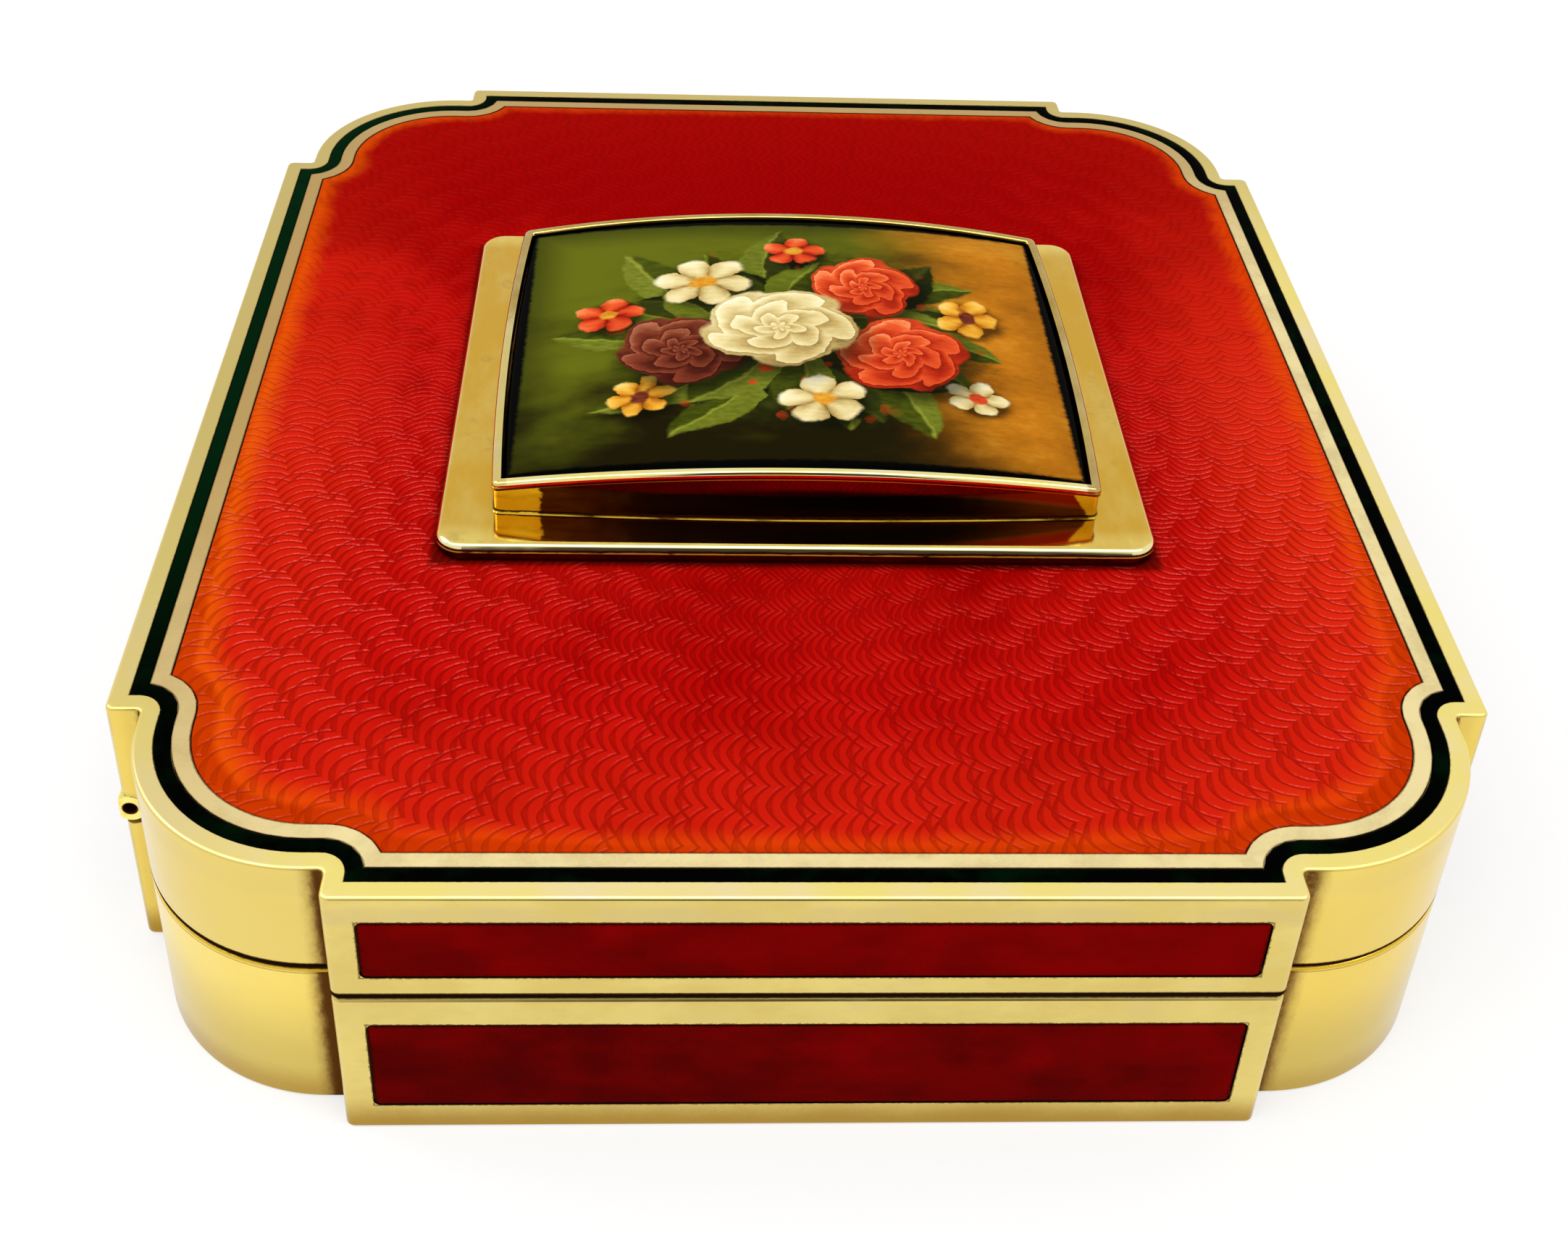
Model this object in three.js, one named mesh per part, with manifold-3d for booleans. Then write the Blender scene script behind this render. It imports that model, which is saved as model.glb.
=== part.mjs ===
// A hinged table box in gilt metal, inlaid with enamel, with an arched painted plaque on its lid.
// Units are millimetres. +Z is up, the origin is the centre of the footprint on the table, the hinge
// runs along Y on the -X side, and the lid opens from the +X side.
import * as THREE from "three";
import { mergeVertices } from "three/addons/utils/BufferGeometryUtils.js";
import Module from "manifold-3d";

const wasm = await Module();
wasm.setup();

// Plan of the box
const WIDTH = 94; // along X, across the hinge
const LENGTH = 110; // along Y, along the hinge
const CORNER_LEG = 16.5; // from each panel's end to the true corner, on both sides
const CORNER_STEP = 2.4; // how far the rounded corner stands back from the panels
const CORNER_LEAD = 1.4; // straight run between each step and the round
const STEP_FILLET = 0.35; // radius in the angle between a step and its rounded corner

// Heights
const BASE_HEIGHT = 12.7;
const LID_HEIGHT = 9.3;

// Metal
const BASE_WALL = 2.55;
const LID_WALL = 2.3;
const SOLDER = 0.05; // film between soldered pieces
const EDGE_BREAK = 0.3; // softened outer edges
const FLOOR = 1.2;
const RIM_WALL = 0.8;
const RIM_STAND = 1.8; // the rim's height above the base's edge
const RIM_LEAD = 0.3; // chamfer that leads the lid on

// Lid top
const TOP_PLATE = 1.6;
const GILT_BORDER = 1.4;
const DARK_LINE = 1.15;
const GILT_LINE = 1.2;
const DARK_LINE_DEPTH = 0.5;
const FIELD_DEPTH = 0.7;
const ENAMEL_GAP = 0.06; // all round each inlay

// Enamel panels in the walls
const PANEL_DEPTH = 0.5;
const PANEL_END_MARGIN = 2.1;
const PANEL_CORNER = 0.5;
const BASE_PANEL_BOTTOM = 2.25; // gilt below the panel
const BASE_PANEL_TOP = 2.4; // gilt above it
const LID_PANEL_BOTTOM = 2.1;
const LID_PANEL_TOP = 2.15;

// Hinge
const HINGE_INSET = 0.5; // from the wall's face to the pin's axis
const KNUCKLE_RADIUS = 1.15;
const KNUCKLE_PROUD = 0.25; // how far the filed knuckles stand out of the wall
const KNUCKLE_BORE = 0.45;
const PIN_RADIUS = 0.39;
const PIN_RECESS = 1.2; // the pin ends inside the outer knuckles
const LID_KNUCKLES = 5;
const KNUCKLE_GAP = 0.15; // between neighbouring knuckles
const GROOVE_GAP = 0.3; // between a knuckle and the other half's groove

// Nail nick under the lid's opening edge
const NICK_LENGTH = 13;
const NICK_DEPTH = 0.9;
const NICK_HEIGHT = 1.1;

// Plaque and its mount
const MOUNT_X = 53.6;
const MOUNT_Y = 45.4;
const MOUNT_THICK = 1.5;
const MOUNT_CORNER = 2.1;
const MOUNT_ROUND = 0.8;
const BEZEL_X = 45.6;
const BEZEL_Y = 37.6;
const BEZEL_BOW = 0.6; // each side swells this much at its middle
const BEZEL_CORNER = 0.6;
const BEZEL_LEAST_CORNER = 0.2; // of its inner corners
const BEZEL_WALL = 0.8;
const BEZEL_HEIGHT = 2.7; // at the four corners
const BEZEL_ROUND = 0.25;
const ARCH_RISE = 1.85;
const LEDGE = 0.9;
const PLAQUE_THICK = 1.5;
const PLAQUE_GAP = 0.15;
const PLAQUE_CROWN = 0.35; // the enamel swells above its own edge
const PLAQUE_ROLL = 0.3; // its edge rolls down below the bezel's lip
const PLAQUE_RINGS = [0, 0.4, 1, 2.2, 4.5, 8, 12]; // in from its edge, where its crown is shaped
const PLAQUE_MIDDLE = 1; // half width of the strip left at its middle

// Studs and nuts that hold the mount
const STUD_RADIUS = 0.8;
const STUD_HOLE = 0.95;
const STUD_MARGIN = 5; // from the mount's edges to each stud
const STUD_END = 0.4; // thread left below the nut
const NUT_RADIUS = 2;
const NUT_BORE = 0.86;
const NUT_THICK = 1.2;
const NUT_SLOT = 0.6;
const NUT_SLOT_DEPTH = 0.5;

// How far a cutter reaches past what it cuts, and how near two points are one
const OVERSHOOT = 1;
const WELD = 1e-4;

// Steps in the curves
const ARC_STEPS = 12;
const FILLET_STEPS = 4;
const ROUND_STEPS = 4;
const CORNER_STEPS = 2;
const TUBE_STEPS = 24;
const SMALL_STEPS = 16;
const SIDE_STEPS = 14;

// Sizes that follow from these
const halfX = WIDTH / 2;
const halfY = LENGTH / 2;
const endFlat = halfX - CORNER_LEG; // half length of the panels on the Y sides
const sideFlat = halfY - CORNER_LEG; // half length of the panels on the X sides
const lidTop = BASE_HEIGHT + LID_HEIGHT;
const plateFoot = lidTop - TOP_PLATE;
const rimInset = BASE_WALL + SOLDER;
const rimTop = BASE_HEIGHT + RIM_STAND;
const lineEnd = GILT_BORDER + DARK_LINE;
const fieldInset = lineEnd + GILT_LINE;
const hingeX = -halfX + HINGE_INSET;
const hingeLength = 2 * sideFlat;
const mountTop = lidTop + MOUNT_THICK;
const bezelLip = mountTop + BEZEL_HEIGHT;

// Finishes
const metal = (color, roughness) => new THREE.MeshStandardMaterial({ color, roughness, metalness: 1 });
const glass = (color, roughness) => new THREE.MeshStandardMaterial({ color, roughness, metalness: 0 });
const gilt = metal(0xdfc05c, 0.28);
const giltInside = metal(0xd8b850, 0.4);
const pinWire = metal(0xb89a52, 0.45);
const redEnamel = glass(0x7c0f0a, 0.12);
const fieldEnamel = glass(0xc4200f, 0.1);
const darkEnamel = glass(0x04160c, 0.12);
const paintedEnamel = glass(0x5a5a1c, 0.12);

// Solids and meshes
function toSolid(geometry) {
  const bare = geometry.clone();
  bare.deleteAttribute("normal");
  bare.deleteAttribute("uv");
  const merged = mergeVertices(bare, WELD);
  return new wasm.Manifold(
    new wasm.Mesh({
      numProp: 3,
      vertProperties: merged.attributes.position.array,
      triVerts: new Uint32Array(merged.index.array),
    }),
  );
}

function toGeometry(solid) {
  const { vertProperties, triVerts } = solid.getMesh();
  const geometry = new THREE.BufferGeometry();
  geometry.setAttribute("position", new THREE.BufferAttribute(vertProperties, 3));
  geometry.setIndex(new THREE.BufferAttribute(triVerts, 1));
  return geometry;
}

function cut(geometry, cutters) {
  return toGeometry(cutters.reduce((solid, cutter) => solid.subtract(toSolid(cutter)), toSolid(geometry)));
}

// Sweeps a profile round an outline. Each profile point is [inset, height], where a height can be a
// number or a function of the plan point. A closed profile makes a ring, and an open one, given from
// the underside to the top, is capped at both ends.
function sweep(outlineAt, profile, closed = true) {
  const loops = profile.map(([inset, height]) => {
    const heightAt = height instanceof Function ? height : () => height;
    return outlineAt(inset).map((p) => new THREE.Vector3(p.x, p.y, heightAt(p)));
  });
  const count = loops[0].length;
  const index = [];
  const bands = closed ? loops.length : loops.length - 1;
  for (let j = 0; j < bands; j++) {
    const low = j * count;
    const high = ((j + 1) % loops.length) * count;
    for (let i = 0; i < count; i++) {
      const next = (i + 1) % count;
      index.push(low + i, low + next, high + next, low + i, high + next, high + i);
    }
  }
  if (!closed) {
    const last = (loops.length - 1) * count;
    const flat = (loop) => loop.map((p) => new THREE.Vector2(p.x, p.y));
    for (const [a, b, c] of THREE.ShapeUtils.triangulateShape(flat(loops[0]), [])) index.push(a, c, b);
    for (const [a, b, c] of THREE.ShapeUtils.triangulateShape(flat(loops.at(-1)), []))
      index.push(last + a, last + b, last + c);
  }
  const geometry = new THREE.BufferGeometry().setFromPoints(loops.flat());
  return withoutSlivers(mergeVertices(geometry.setIndex(index), WELD));
}

// Drops the triangles whose corners fall together.
function withoutSlivers(geometry) {
  const corners = geometry.index.array;
  const kept = [];
  for (let i = 0; i < corners.length; i += 3) {
    const [a, b, c] = corners.subarray(i, i + 3);
    if (a !== b && b !== c && c !== a) kept.push(a, b, c);
  }
  return geometry.setIndex(kept);
}

// Points of an arc, its end point included.
function arc(x, y, radius, from, to, steps) {
  return Array.from({ length: steps + 1 }, (_, i) => {
    const angle = from + ((to - from) * i) / steps;
    return new THREE.Vector2(x + radius * Math.cos(angle), y + radius * Math.sin(angle));
  });
}

// Repeats a first-quadrant corner in all four quadrants, counter-clockwise.
function fourCorners(corner) {
  const turned = (sx, sy) => corner.map((p) => new THREE.Vector2(sx * p.x, sy * p.y));
  return [...turned(1, 1), ...turned(-1, 1).reverse(), ...turned(-1, -1), ...turned(1, -1).reverse()];
}

// The box's plan at an inset: straight panels, square steps and round corners between them.
function boxOutline(inset) {
  const radius = CORNER_LEG - CORNER_STEP - CORNER_LEAD - inset;
  const fillet = STEP_FILLET + inset;
  const stepLeft = Math.min(0, CORNER_STEP - STEP_FILLET - inset);
  const from = -Math.acos(stepLeft / fillet);
  const step = [
    new THREE.Vector2(CORNER_LEG - inset, stepLeft ? STEP_FILLET + fillet * Math.sin(from) : -inset),
    ...arc(CORNER_LEG - CORNER_STEP + STEP_FILLET, STEP_FILLET, fillet, from, -Math.PI, FILLET_STEPS),
  ];
  const corner = [
    ...step,
    ...arc(CORNER_LEAD, CORNER_LEAD, radius, 0, Math.PI / 2, ARC_STEPS),
    ...step.toReversed().map((p) => new THREE.Vector2(p.y, p.x)),
  ];
  return fourCorners(corner.map((p) => new THREE.Vector2(p.x + endFlat, p.y + sideFlat)));
}

// A rectangle with round corners, at an inset.
function mountOutline(inset) {
  const radius = MOUNT_CORNER - inset;
  const x = MOUNT_X / 2 - MOUNT_CORNER;
  const y = MOUNT_Y / 2 - MOUNT_CORNER;
  return fourCorners(arc(x, y, radius, 0, Math.PI / 2, ROUND_STEPS));
}

// A rectangle whose sides swell a little and whose corners are just softened, at an inset.
function bezelOutline(inset) {
  const x = BEZEL_X / 2 - inset;
  const y = BEZEL_Y / 2 - inset;
  const soft = Math.max(BEZEL_CORNER - inset, BEZEL_LEAST_CORNER);
  const bow = (share) => BEZEL_BOW * (1 - share * share);
  const side = [];
  for (let i = 0; i < SIDE_STEPS / 2; i++) {
    const share = i / (SIDE_STEPS / 2);
    side.push(new THREE.Vector2(x + bow(share), share * (y - soft)));
  }
  const end = [];
  for (let i = SIDE_STEPS / 2 - 1; i > 0; i--) {
    const share = i / (SIDE_STEPS / 2);
    end.push(new THREE.Vector2(share * (x - soft), y + bow(share)));
  }
  const middle = new THREE.Vector2(0, y + BEZEL_BOW);
  const quarter = [...side, ...arc(x - soft, y - soft, soft, 0, Math.PI / 2, CORNER_STEPS), ...end];
  const turned = (sx, sy) => quarter.map((p) => new THREE.Vector2(sx * p.x, sy * p.y));
  return [
    ...turned(1, 1),
    middle,
    ...turned(-1, 1).reverse(),
    ...turned(-1, -1).slice(1),
    new THREE.Vector2(0, -middle.y),
    ...turned(1, -1).slice(1).reverse(),
  ];
}

// The arch across the plaque, as height above its own ends.
const archAt = (x) => ARCH_RISE * (1 - Math.pow((2 * x) / BEZEL_X, 2));
const arched = (height) => (p) => height + archAt(p.x);

// A prism of a rounded rectangle that lies in a wall, pointing outwards through the face.
function wallPrism(length, height, radius, depth) {
  const x = length / 2 - radius;
  const y = height / 2 - radius;
  const shape = new THREE.Shape(fourCorners(arc(x, y, radius, 0, Math.PI / 2, ROUND_STEPS)));
  return new THREE.ExtrudeGeometry(shape, { depth, bevelEnabled: false });
}

// The four walls: how far each face is from the middle, its half length, and its turn about Z.
const WALLS = [
  { name: "front", reach: halfY, flat: endFlat, turn: 0 },
  { name: "opening_side", reach: halfX, flat: sideFlat, turn: Math.PI / 2 },
  { name: "back", reach: halfY, flat: endFlat, turn: Math.PI },
  { name: "hinge_side", reach: halfX, flat: sideFlat, turn: -Math.PI / 2 },
];

// A wall panel between two heights, from a plane PANEL_DEPTH inside the face out to `out` past it.
function wallPanel(wall, low, high, gap, out) {
  const prism = wallPrism(
    2 * (wall.flat - PANEL_END_MARGIN - gap),
    high - low - 2 * gap,
    PANEL_CORNER,
    PANEL_DEPTH + out,
  );
  prism.rotateX(Math.PI / 2);
  prism.translate(0, PANEL_DEPTH - wall.reach, (low + high) / 2);
  return prism.rotateZ(wall.turn);
}

const basePanel = [BASE_PANEL_BOTTOM, BASE_HEIGHT - BASE_PANEL_TOP];
const lidPanel = [BASE_HEIGHT + LID_PANEL_BOTTOM, lidTop - LID_PANEL_TOP];
const panelCutters = ([low, high]) => WALLS.map((wall) => wallPanel(wall, low, high, 0, OVERSHOOT));

// A rod along Y.
function rodAlongY(radius, length, steps) {
  return new THREE.CylinderGeometry(radius, radius, length, steps);
}

// Knuckles alternate along the hinge, and begin and end with the lid's.
const knuckleCount = 2 * LID_KNUCKLES - 1;
const knucklePitch = (hingeLength + KNUCKLE_GAP) / knuckleCount;
const knuckleStart = (i) => -sideFlat + i * knucklePitch;
const isBaseKnuckle = (i) => i % 2 === 1;

// The grooves of one half: its own knuckles are soldered in, the other half's turn freely.
function hingeGrooves(forBase) {
  return Array.from({ length: knuckleCount }, (_, i) => {
    const own = isBaseKnuckle(i) === forBase;
    const spread = own ? 0 : KNUCKLE_GAP;
    const radius = KNUCKLE_RADIUS + (own ? SOLDER : GROOVE_GAP);
    const middle = knuckleStart(i) + (knucklePitch - KNUCKLE_GAP) / 2;
    return rodAlongY(radius, knucklePitch + spread, TUBE_STEPS).translate(hingeX, middle, BASE_HEIGHT);
  });
}

function nailNick() {
  const nick = new THREE.SphereGeometry(1, TUBE_STEPS, ARC_STEPS);
  nick.scale(NICK_DEPTH, NICK_LENGTH / 2, NICK_HEIGHT);
  return nick.translate(halfX, 0, BASE_HEIGHT);
}

function baseWall() {
  const ring = sweep(boxOutline, [
    [EDGE_BREAK, 0],
    [0, EDGE_BREAK],
    [0, BASE_HEIGHT - EDGE_BREAK],
    [EDGE_BREAK, BASE_HEIGHT],
    [BASE_WALL, BASE_HEIGHT],
    [BASE_WALL, 0],
  ]);
  return cut(ring, [...hingeGrooves(true), ...panelCutters(basePanel)]);
}

function basePlate() {
  return sweep(
    boxOutline,
    [
      [rimInset, 0],
      [rimInset, FLOOR],
    ],
    false,
  );
}

function baseRim() {
  const inner = rimInset + RIM_WALL;
  return sweep(boxOutline, [
    [rimInset, FLOOR],
    [rimInset, rimTop - RIM_LEAD],
    [rimInset + RIM_LEAD, rimTop],
    [inner, rimTop],
    [inner, FLOOR],
  ]);
}

function lidFrame() {
  const ring = sweep(boxOutline, [
    [EDGE_BREAK, BASE_HEIGHT],
    [0, BASE_HEIGHT + EDGE_BREAK],
    [0, lidTop - EDGE_BREAK],
    [EDGE_BREAK, lidTop],
    [GILT_BORDER, lidTop],
    [GILT_BORDER, plateFoot],
    [LID_WALL, plateFoot],
    [LID_WALL, BASE_HEIGHT],
  ]);
  return cut(ring, [...hingeGrooves(false), nailNick(), ...panelCutters(lidPanel)]);
}

// Where the four studs go through the lid.
const studPlaces = fourCorners([new THREE.Vector2(MOUNT_X / 2 - STUD_MARGIN, MOUNT_Y / 2 - STUD_MARGIN)]);

function studHoles() {
  return studPlaces.map((p) => {
    const length = 2 * (TOP_PLATE + OVERSHOOT);
    const hole = new THREE.CylinderGeometry(STUD_HOLE, STUD_HOLE, length, SMALL_STEPS);
    return hole.rotateX(Math.PI / 2).translate(p.x, p.y, lidTop);
  });
}

function lidTopPlate() {
  const outer = GILT_BORDER + SOLDER;
  const plate = sweep(
    boxOutline,
    [
      [outer, plateFoot],
      [outer, lidTop - DARK_LINE_DEPTH],
      [lineEnd, lidTop - DARK_LINE_DEPTH],
      [lineEnd, lidTop],
      [fieldInset, lidTop],
      [fieldInset, lidTop - FIELD_DEPTH],
    ],
    false,
  );
  return cut(plate, studHoles());
}

function lidDarkLine() {
  const outer = GILT_BORDER + SOLDER;
  const inner = lineEnd - ENAMEL_GAP;
  return sweep(boxOutline, [
    [outer, lidTop - DARK_LINE_DEPTH],
    [outer, lidTop],
    [inner, lidTop],
    [inner, lidTop - DARK_LINE_DEPTH],
  ]);
}

function lidField() {
  const inset = fieldInset + ENAMEL_GAP;
  const slab = sweep(
    boxOutline,
    [
      [inset, lidTop - FIELD_DEPTH],
      [inset, lidTop],
    ],
    false,
  );
  return cut(slab, studHoles());
}

// One hinge knuckle: a tube whose outer flank is filed down almost to the wall.
function knuckle(from, to) {
  const flank = Math.acos(-(HINGE_INSET + KNUCKLE_PROUD) / KNUCKLE_RADIUS);
  const section = new THREE.Shape(arc(0, 0, KNUCKLE_RADIUS, -flank, flank, TUBE_STEPS));
  section.holes.push(new THREE.Path(arc(0, 0, KNUCKLE_BORE, 0, 2 * Math.PI, SMALL_STEPS).slice(0, -1)));
  const tube = new THREE.ExtrudeGeometry(section, { depth: to - from, bevelEnabled: false });
  return tube.rotateX(Math.PI / 2).translate(hingeX, to, BASE_HEIGHT);
}

function plaqueMount() {
  const edge = arc(0, 0, MOUNT_ROUND, 0, Math.PI / 2, ROUND_STEPS).map((p) => [
    MOUNT_ROUND - p.x,
    mountTop - MOUNT_ROUND + p.y,
  ]);
  return sweep(mountOutline, [[EDGE_BREAK, lidTop], [0, lidTop + EDGE_BREAK], ...edge], false);
}

function plaqueBezel() {
  const ledgeInset = BEZEL_WALL + LEDGE;
  const ledgeTop = bezelLip - PLAQUE_ROLL - PLAQUE_THICK - PLAQUE_GAP;
  return sweep(bezelOutline, [
    [0, mountTop],
    [0, arched(bezelLip - BEZEL_ROUND)],
    [BEZEL_ROUND, arched(bezelLip)],
    [BEZEL_WALL - BEZEL_ROUND, arched(bezelLip)],
    [BEZEL_WALL, arched(bezelLip - BEZEL_ROUND)],
    [BEZEL_WALL, arched(ledgeTop)],
    [ledgeInset, arched(ledgeTop)],
    [ledgeInset, mountTop],
  ]);
}

// The plaque's skin runs in rings from its middle to its edge, crowned and rolled down at the edge.
function paintedPlaque() {
  const edge = BEZEL_WALL + PLAQUE_GAP;
  const deepest = BEZEL_Y / 2 - PLAQUE_MIDDLE - edge;
  const rings = [...PLAQUE_RINGS.filter((inward) => inward < deepest), deepest];
  const under = bezelLip - PLAQUE_ROLL - PLAQUE_THICK;
  const crown = (inward) => PLAQUE_CROWN * (1 - Math.pow(1 - inward / deepest, 3));
  return sweep(
    bezelOutline,
    [
      ...rings.toReversed().map((inward) => [edge + inward, arched(under)]),
      ...rings.map((inward) => [edge + inward, arched(bezelLip - PLAQUE_ROLL + crown(inward))]),
    ],
    false,
  );
}

function mountStud() {
  const length = TOP_PLATE + NUT_THICK + STUD_END;
  return new THREE.CylinderGeometry(STUD_RADIUS, STUD_RADIUS, length, SMALL_STEPS)
    .rotateX(Math.PI / 2)
    .translate(0, 0, -length / 2);
}

function mountNut() {
  const section = new THREE.Shape(arc(0, 0, NUT_RADIUS, 0, 2 * Math.PI, TUBE_STEPS).slice(0, -1));
  section.holes.push(new THREE.Path(arc(0, 0, NUT_BORE, 0, 2 * Math.PI, SMALL_STEPS).slice(0, -1)));
  const nut = new THREE.ExtrudeGeometry(section, { depth: NUT_THICK, bevelEnabled: false });
  const slot = new THREE.BoxGeometry(2 * (NUT_RADIUS + OVERSHOOT), NUT_SLOT, 2 * NUT_SLOT_DEPTH);
  return cut(nut.translate(0, 0, -NUT_THICK), [slot.translate(0, 0, -NUT_THICK)]);
}

// The assembly
const box = new THREE.Group();
const base = new THREE.Group();
const lid = new THREE.Group();
box.add(base, lid);

function add(group, name, geometry, material) {
  const mesh = new THREE.Mesh(geometry, material);
  mesh.name = name;
  group.add(mesh);
  return mesh;
}

add(base, "base_wall", baseWall(), gilt);
add(base, "base_floor_plate", basePlate(), giltInside);
add(base, "base_inner_rim", baseRim(), giltInside);
add(lid, "lid_frame", lidFrame(), gilt);
add(lid, "lid_top_plate", lidTopPlate(), gilt);
add(lid, "lid_dark_line_enamel", lidDarkLine(), darkEnamel);
add(lid, "lid_field_enamel", lidField(), fieldEnamel);

for (const wall of WALLS) {
  add(base, `base_${wall.name}_enamel`, wallPanel(wall, ...basePanel, ENAMEL_GAP, 0), redEnamel);
  add(lid, `lid_${wall.name}_enamel`, wallPanel(wall, ...lidPanel, ENAMEL_GAP, 0), redEnamel);
}

for (let i = 0; i < knuckleCount; i++) {
  const [group, half] = isBaseKnuckle(i) ? [base, "base"] : [lid, "lid"];
  const name = `${half}_knuckle_${Math.floor(i / 2) + 1}`;
  add(group, name, knuckle(knuckleStart(i), knuckleStart(i + 1) - KNUCKLE_GAP), gilt);
}
const pin = rodAlongY(PIN_RADIUS, hingeLength - 2 * PIN_RECESS, SMALL_STEPS);
add(base, "hinge_pin", pin, pinWire).position.set(hingeX, 0, BASE_HEIGHT);

add(lid, "plaque_mount_plate", plaqueMount(), gilt);
add(lid, "plaque_bezel", plaqueBezel(), gilt);
add(lid, "painted_plaque", paintedPlaque(), paintedEnamel);
studPlaces.forEach((p, i) => {
  add(lid, `mount_stud_${i + 1}`, mountStud(), giltInside).position.set(p.x, p.y, lidTop);
  add(lid, `mount_nut_${i + 1}`, mountNut(), giltInside).position.set(p.x, p.y, plateFoot);
});

export default box;
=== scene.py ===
"""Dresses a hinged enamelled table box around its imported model, and sets it on a pale stage."""

import math

import bmesh
import bpy
from mathutils import Matrix, Vector


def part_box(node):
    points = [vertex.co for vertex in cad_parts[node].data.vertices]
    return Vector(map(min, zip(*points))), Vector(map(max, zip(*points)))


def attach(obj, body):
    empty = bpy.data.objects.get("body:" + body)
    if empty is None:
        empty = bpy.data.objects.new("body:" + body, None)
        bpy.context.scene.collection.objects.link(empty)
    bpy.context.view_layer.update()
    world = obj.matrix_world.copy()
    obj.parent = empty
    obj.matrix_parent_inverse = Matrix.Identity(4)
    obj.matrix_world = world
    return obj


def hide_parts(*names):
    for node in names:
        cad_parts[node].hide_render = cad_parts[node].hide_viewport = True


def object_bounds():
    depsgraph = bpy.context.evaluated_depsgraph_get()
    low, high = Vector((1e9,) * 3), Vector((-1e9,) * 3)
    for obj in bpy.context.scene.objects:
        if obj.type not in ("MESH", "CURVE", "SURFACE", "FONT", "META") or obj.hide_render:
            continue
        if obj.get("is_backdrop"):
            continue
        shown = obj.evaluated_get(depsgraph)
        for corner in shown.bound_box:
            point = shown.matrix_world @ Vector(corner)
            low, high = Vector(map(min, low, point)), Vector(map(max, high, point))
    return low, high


bl_info = {
    "name": "Enamelled Table Box",
    "version": (1, 0, 0),
    "blender": (4, 5, 0),
    "location": "View3D > Sidebar > Table Box",
    "description": "Gilt metal, enamel and a pale stage for a hinged table box",
    "category": "Object",
}

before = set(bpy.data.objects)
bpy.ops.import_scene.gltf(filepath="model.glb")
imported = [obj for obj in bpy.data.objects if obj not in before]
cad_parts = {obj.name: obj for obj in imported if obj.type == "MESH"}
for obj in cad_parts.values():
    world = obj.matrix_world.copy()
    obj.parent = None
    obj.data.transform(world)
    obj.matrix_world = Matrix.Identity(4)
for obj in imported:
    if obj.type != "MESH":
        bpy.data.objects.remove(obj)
cad_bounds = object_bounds()

MM = 0.001

# Plan of the box
WALL_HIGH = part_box("base_wall")[1]
FRAME_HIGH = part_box("lid_frame")[1]
HALF_X = WALL_HIGH.x
HALF_Y = WALL_HIGH.y
SPLIT = WALL_HIGH.z
LID_TOP = FRAME_HIGH.z
CORNER_LEG = 16.5 * MM
CORNER_STEP = 2.4 * MM
CORNER_LEAD = 1.4 * MM
STEP_FILLET = 0.35 * MM
SMALLEST_ROUND = 0.02 * MM
INNER_ROUND = 0.08 * MM
CELL_ROUND = 0.06 * MM
CUTTER_SPARE = 1 * MM
END_FLAT = HALF_X - CORNER_LEG
SIDE_FLAT = HALF_Y - CORNER_LEG

# Walls and inlays
BASE_WALL = 2.55 * MM
LID_WALL = 2.3 * MM
TOP_PLATE = 1.6 * MM
GILT_BORDER = 1.4 * MM
DARK_LINE = 1.15 * MM
GILT_LINE = 1.2 * MM
DARK_DEPTH = 0.5 * MM
FIELD_DEPTH = 0.7 * MM
PANEL_DEPTH = 0.5 * MM
PANEL_END_MARGIN = 2.1 * MM
PANEL_CORNER = 0.5 * MM
PANEL_FLAT = 2 * MM
FIELD_FLAT = 1 * MM
ENAMEL_GAP = 0.07 * MM
SOLDER = 0.05 * MM
NICK_REACH = (0.9 * MM, 6.5 * MM, 1.1 * MM)
INNER_RIM = 0.8 * MM
LINE_END = GILT_BORDER + DARK_LINE
FIELD_INSET = LINE_END + GILT_LINE

# Hinge
PIN_LOW, PIN_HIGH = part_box("hinge_pin")
HINGE_X = (PIN_LOW.x + PIN_HIGH.x) / 2
KNUCKLE_RADIUS = 1.15 * MM
KNUCKLE_BORE = 0.45 * MM
KNUCKLE_FACE = -HALF_X - 0.25 * MM
KNUCKLE_CHAMFER = 0.06 * MM
GROOVE_GAP = 0.3 * MM
KNUCKLE_GAP = 0.15 * MM

# Plaque
MOUNT_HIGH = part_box("plaque_mount_plate")[1]
BEZEL_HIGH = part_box("plaque_bezel")[1]
MOUNT_TOP = MOUNT_HIGH.z
MOUNT_CORNER = 2.1 * MM
MOUNT_BEVEL = 0.3 * MM
MOUNT_FLAT = 1.8 * MM
BEZEL_BOW = 0.6 * MM
BEZEL_HALF_X = BEZEL_HIGH.x - BEZEL_BOW
BEZEL_HALF_Y = BEZEL_HIGH.y - BEZEL_BOW
BEZEL_WALL = 0.8 * MM
BEZEL_CORNER = 0.6 * MM
BEZEL_SPREAD = 0.05 * MM
BEZEL_WAIST = 0.12 * MM
WAIST_FOOT = 0.16 * MM
BEAD_FOOT = 0.82 * MM
BEAD_BELLY = 0.74 * MM
ARCH_RISE = 1.85 * MM
BEZEL_LIP = BEZEL_HIGH.z - ARCH_RISE
LEDGE = 0.9 * MM
PLAQUE_THICK = 1.5 * MM
PLAQUE_GAP = 0.15 * MM
PLAQUE_SINK = 0.3 * MM
PLAQUE_UNDER = BEZEL_LIP - PLAQUE_SINK - PLAQUE_THICK
PLAQUE_ROLL = 0.35 * MM
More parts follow.
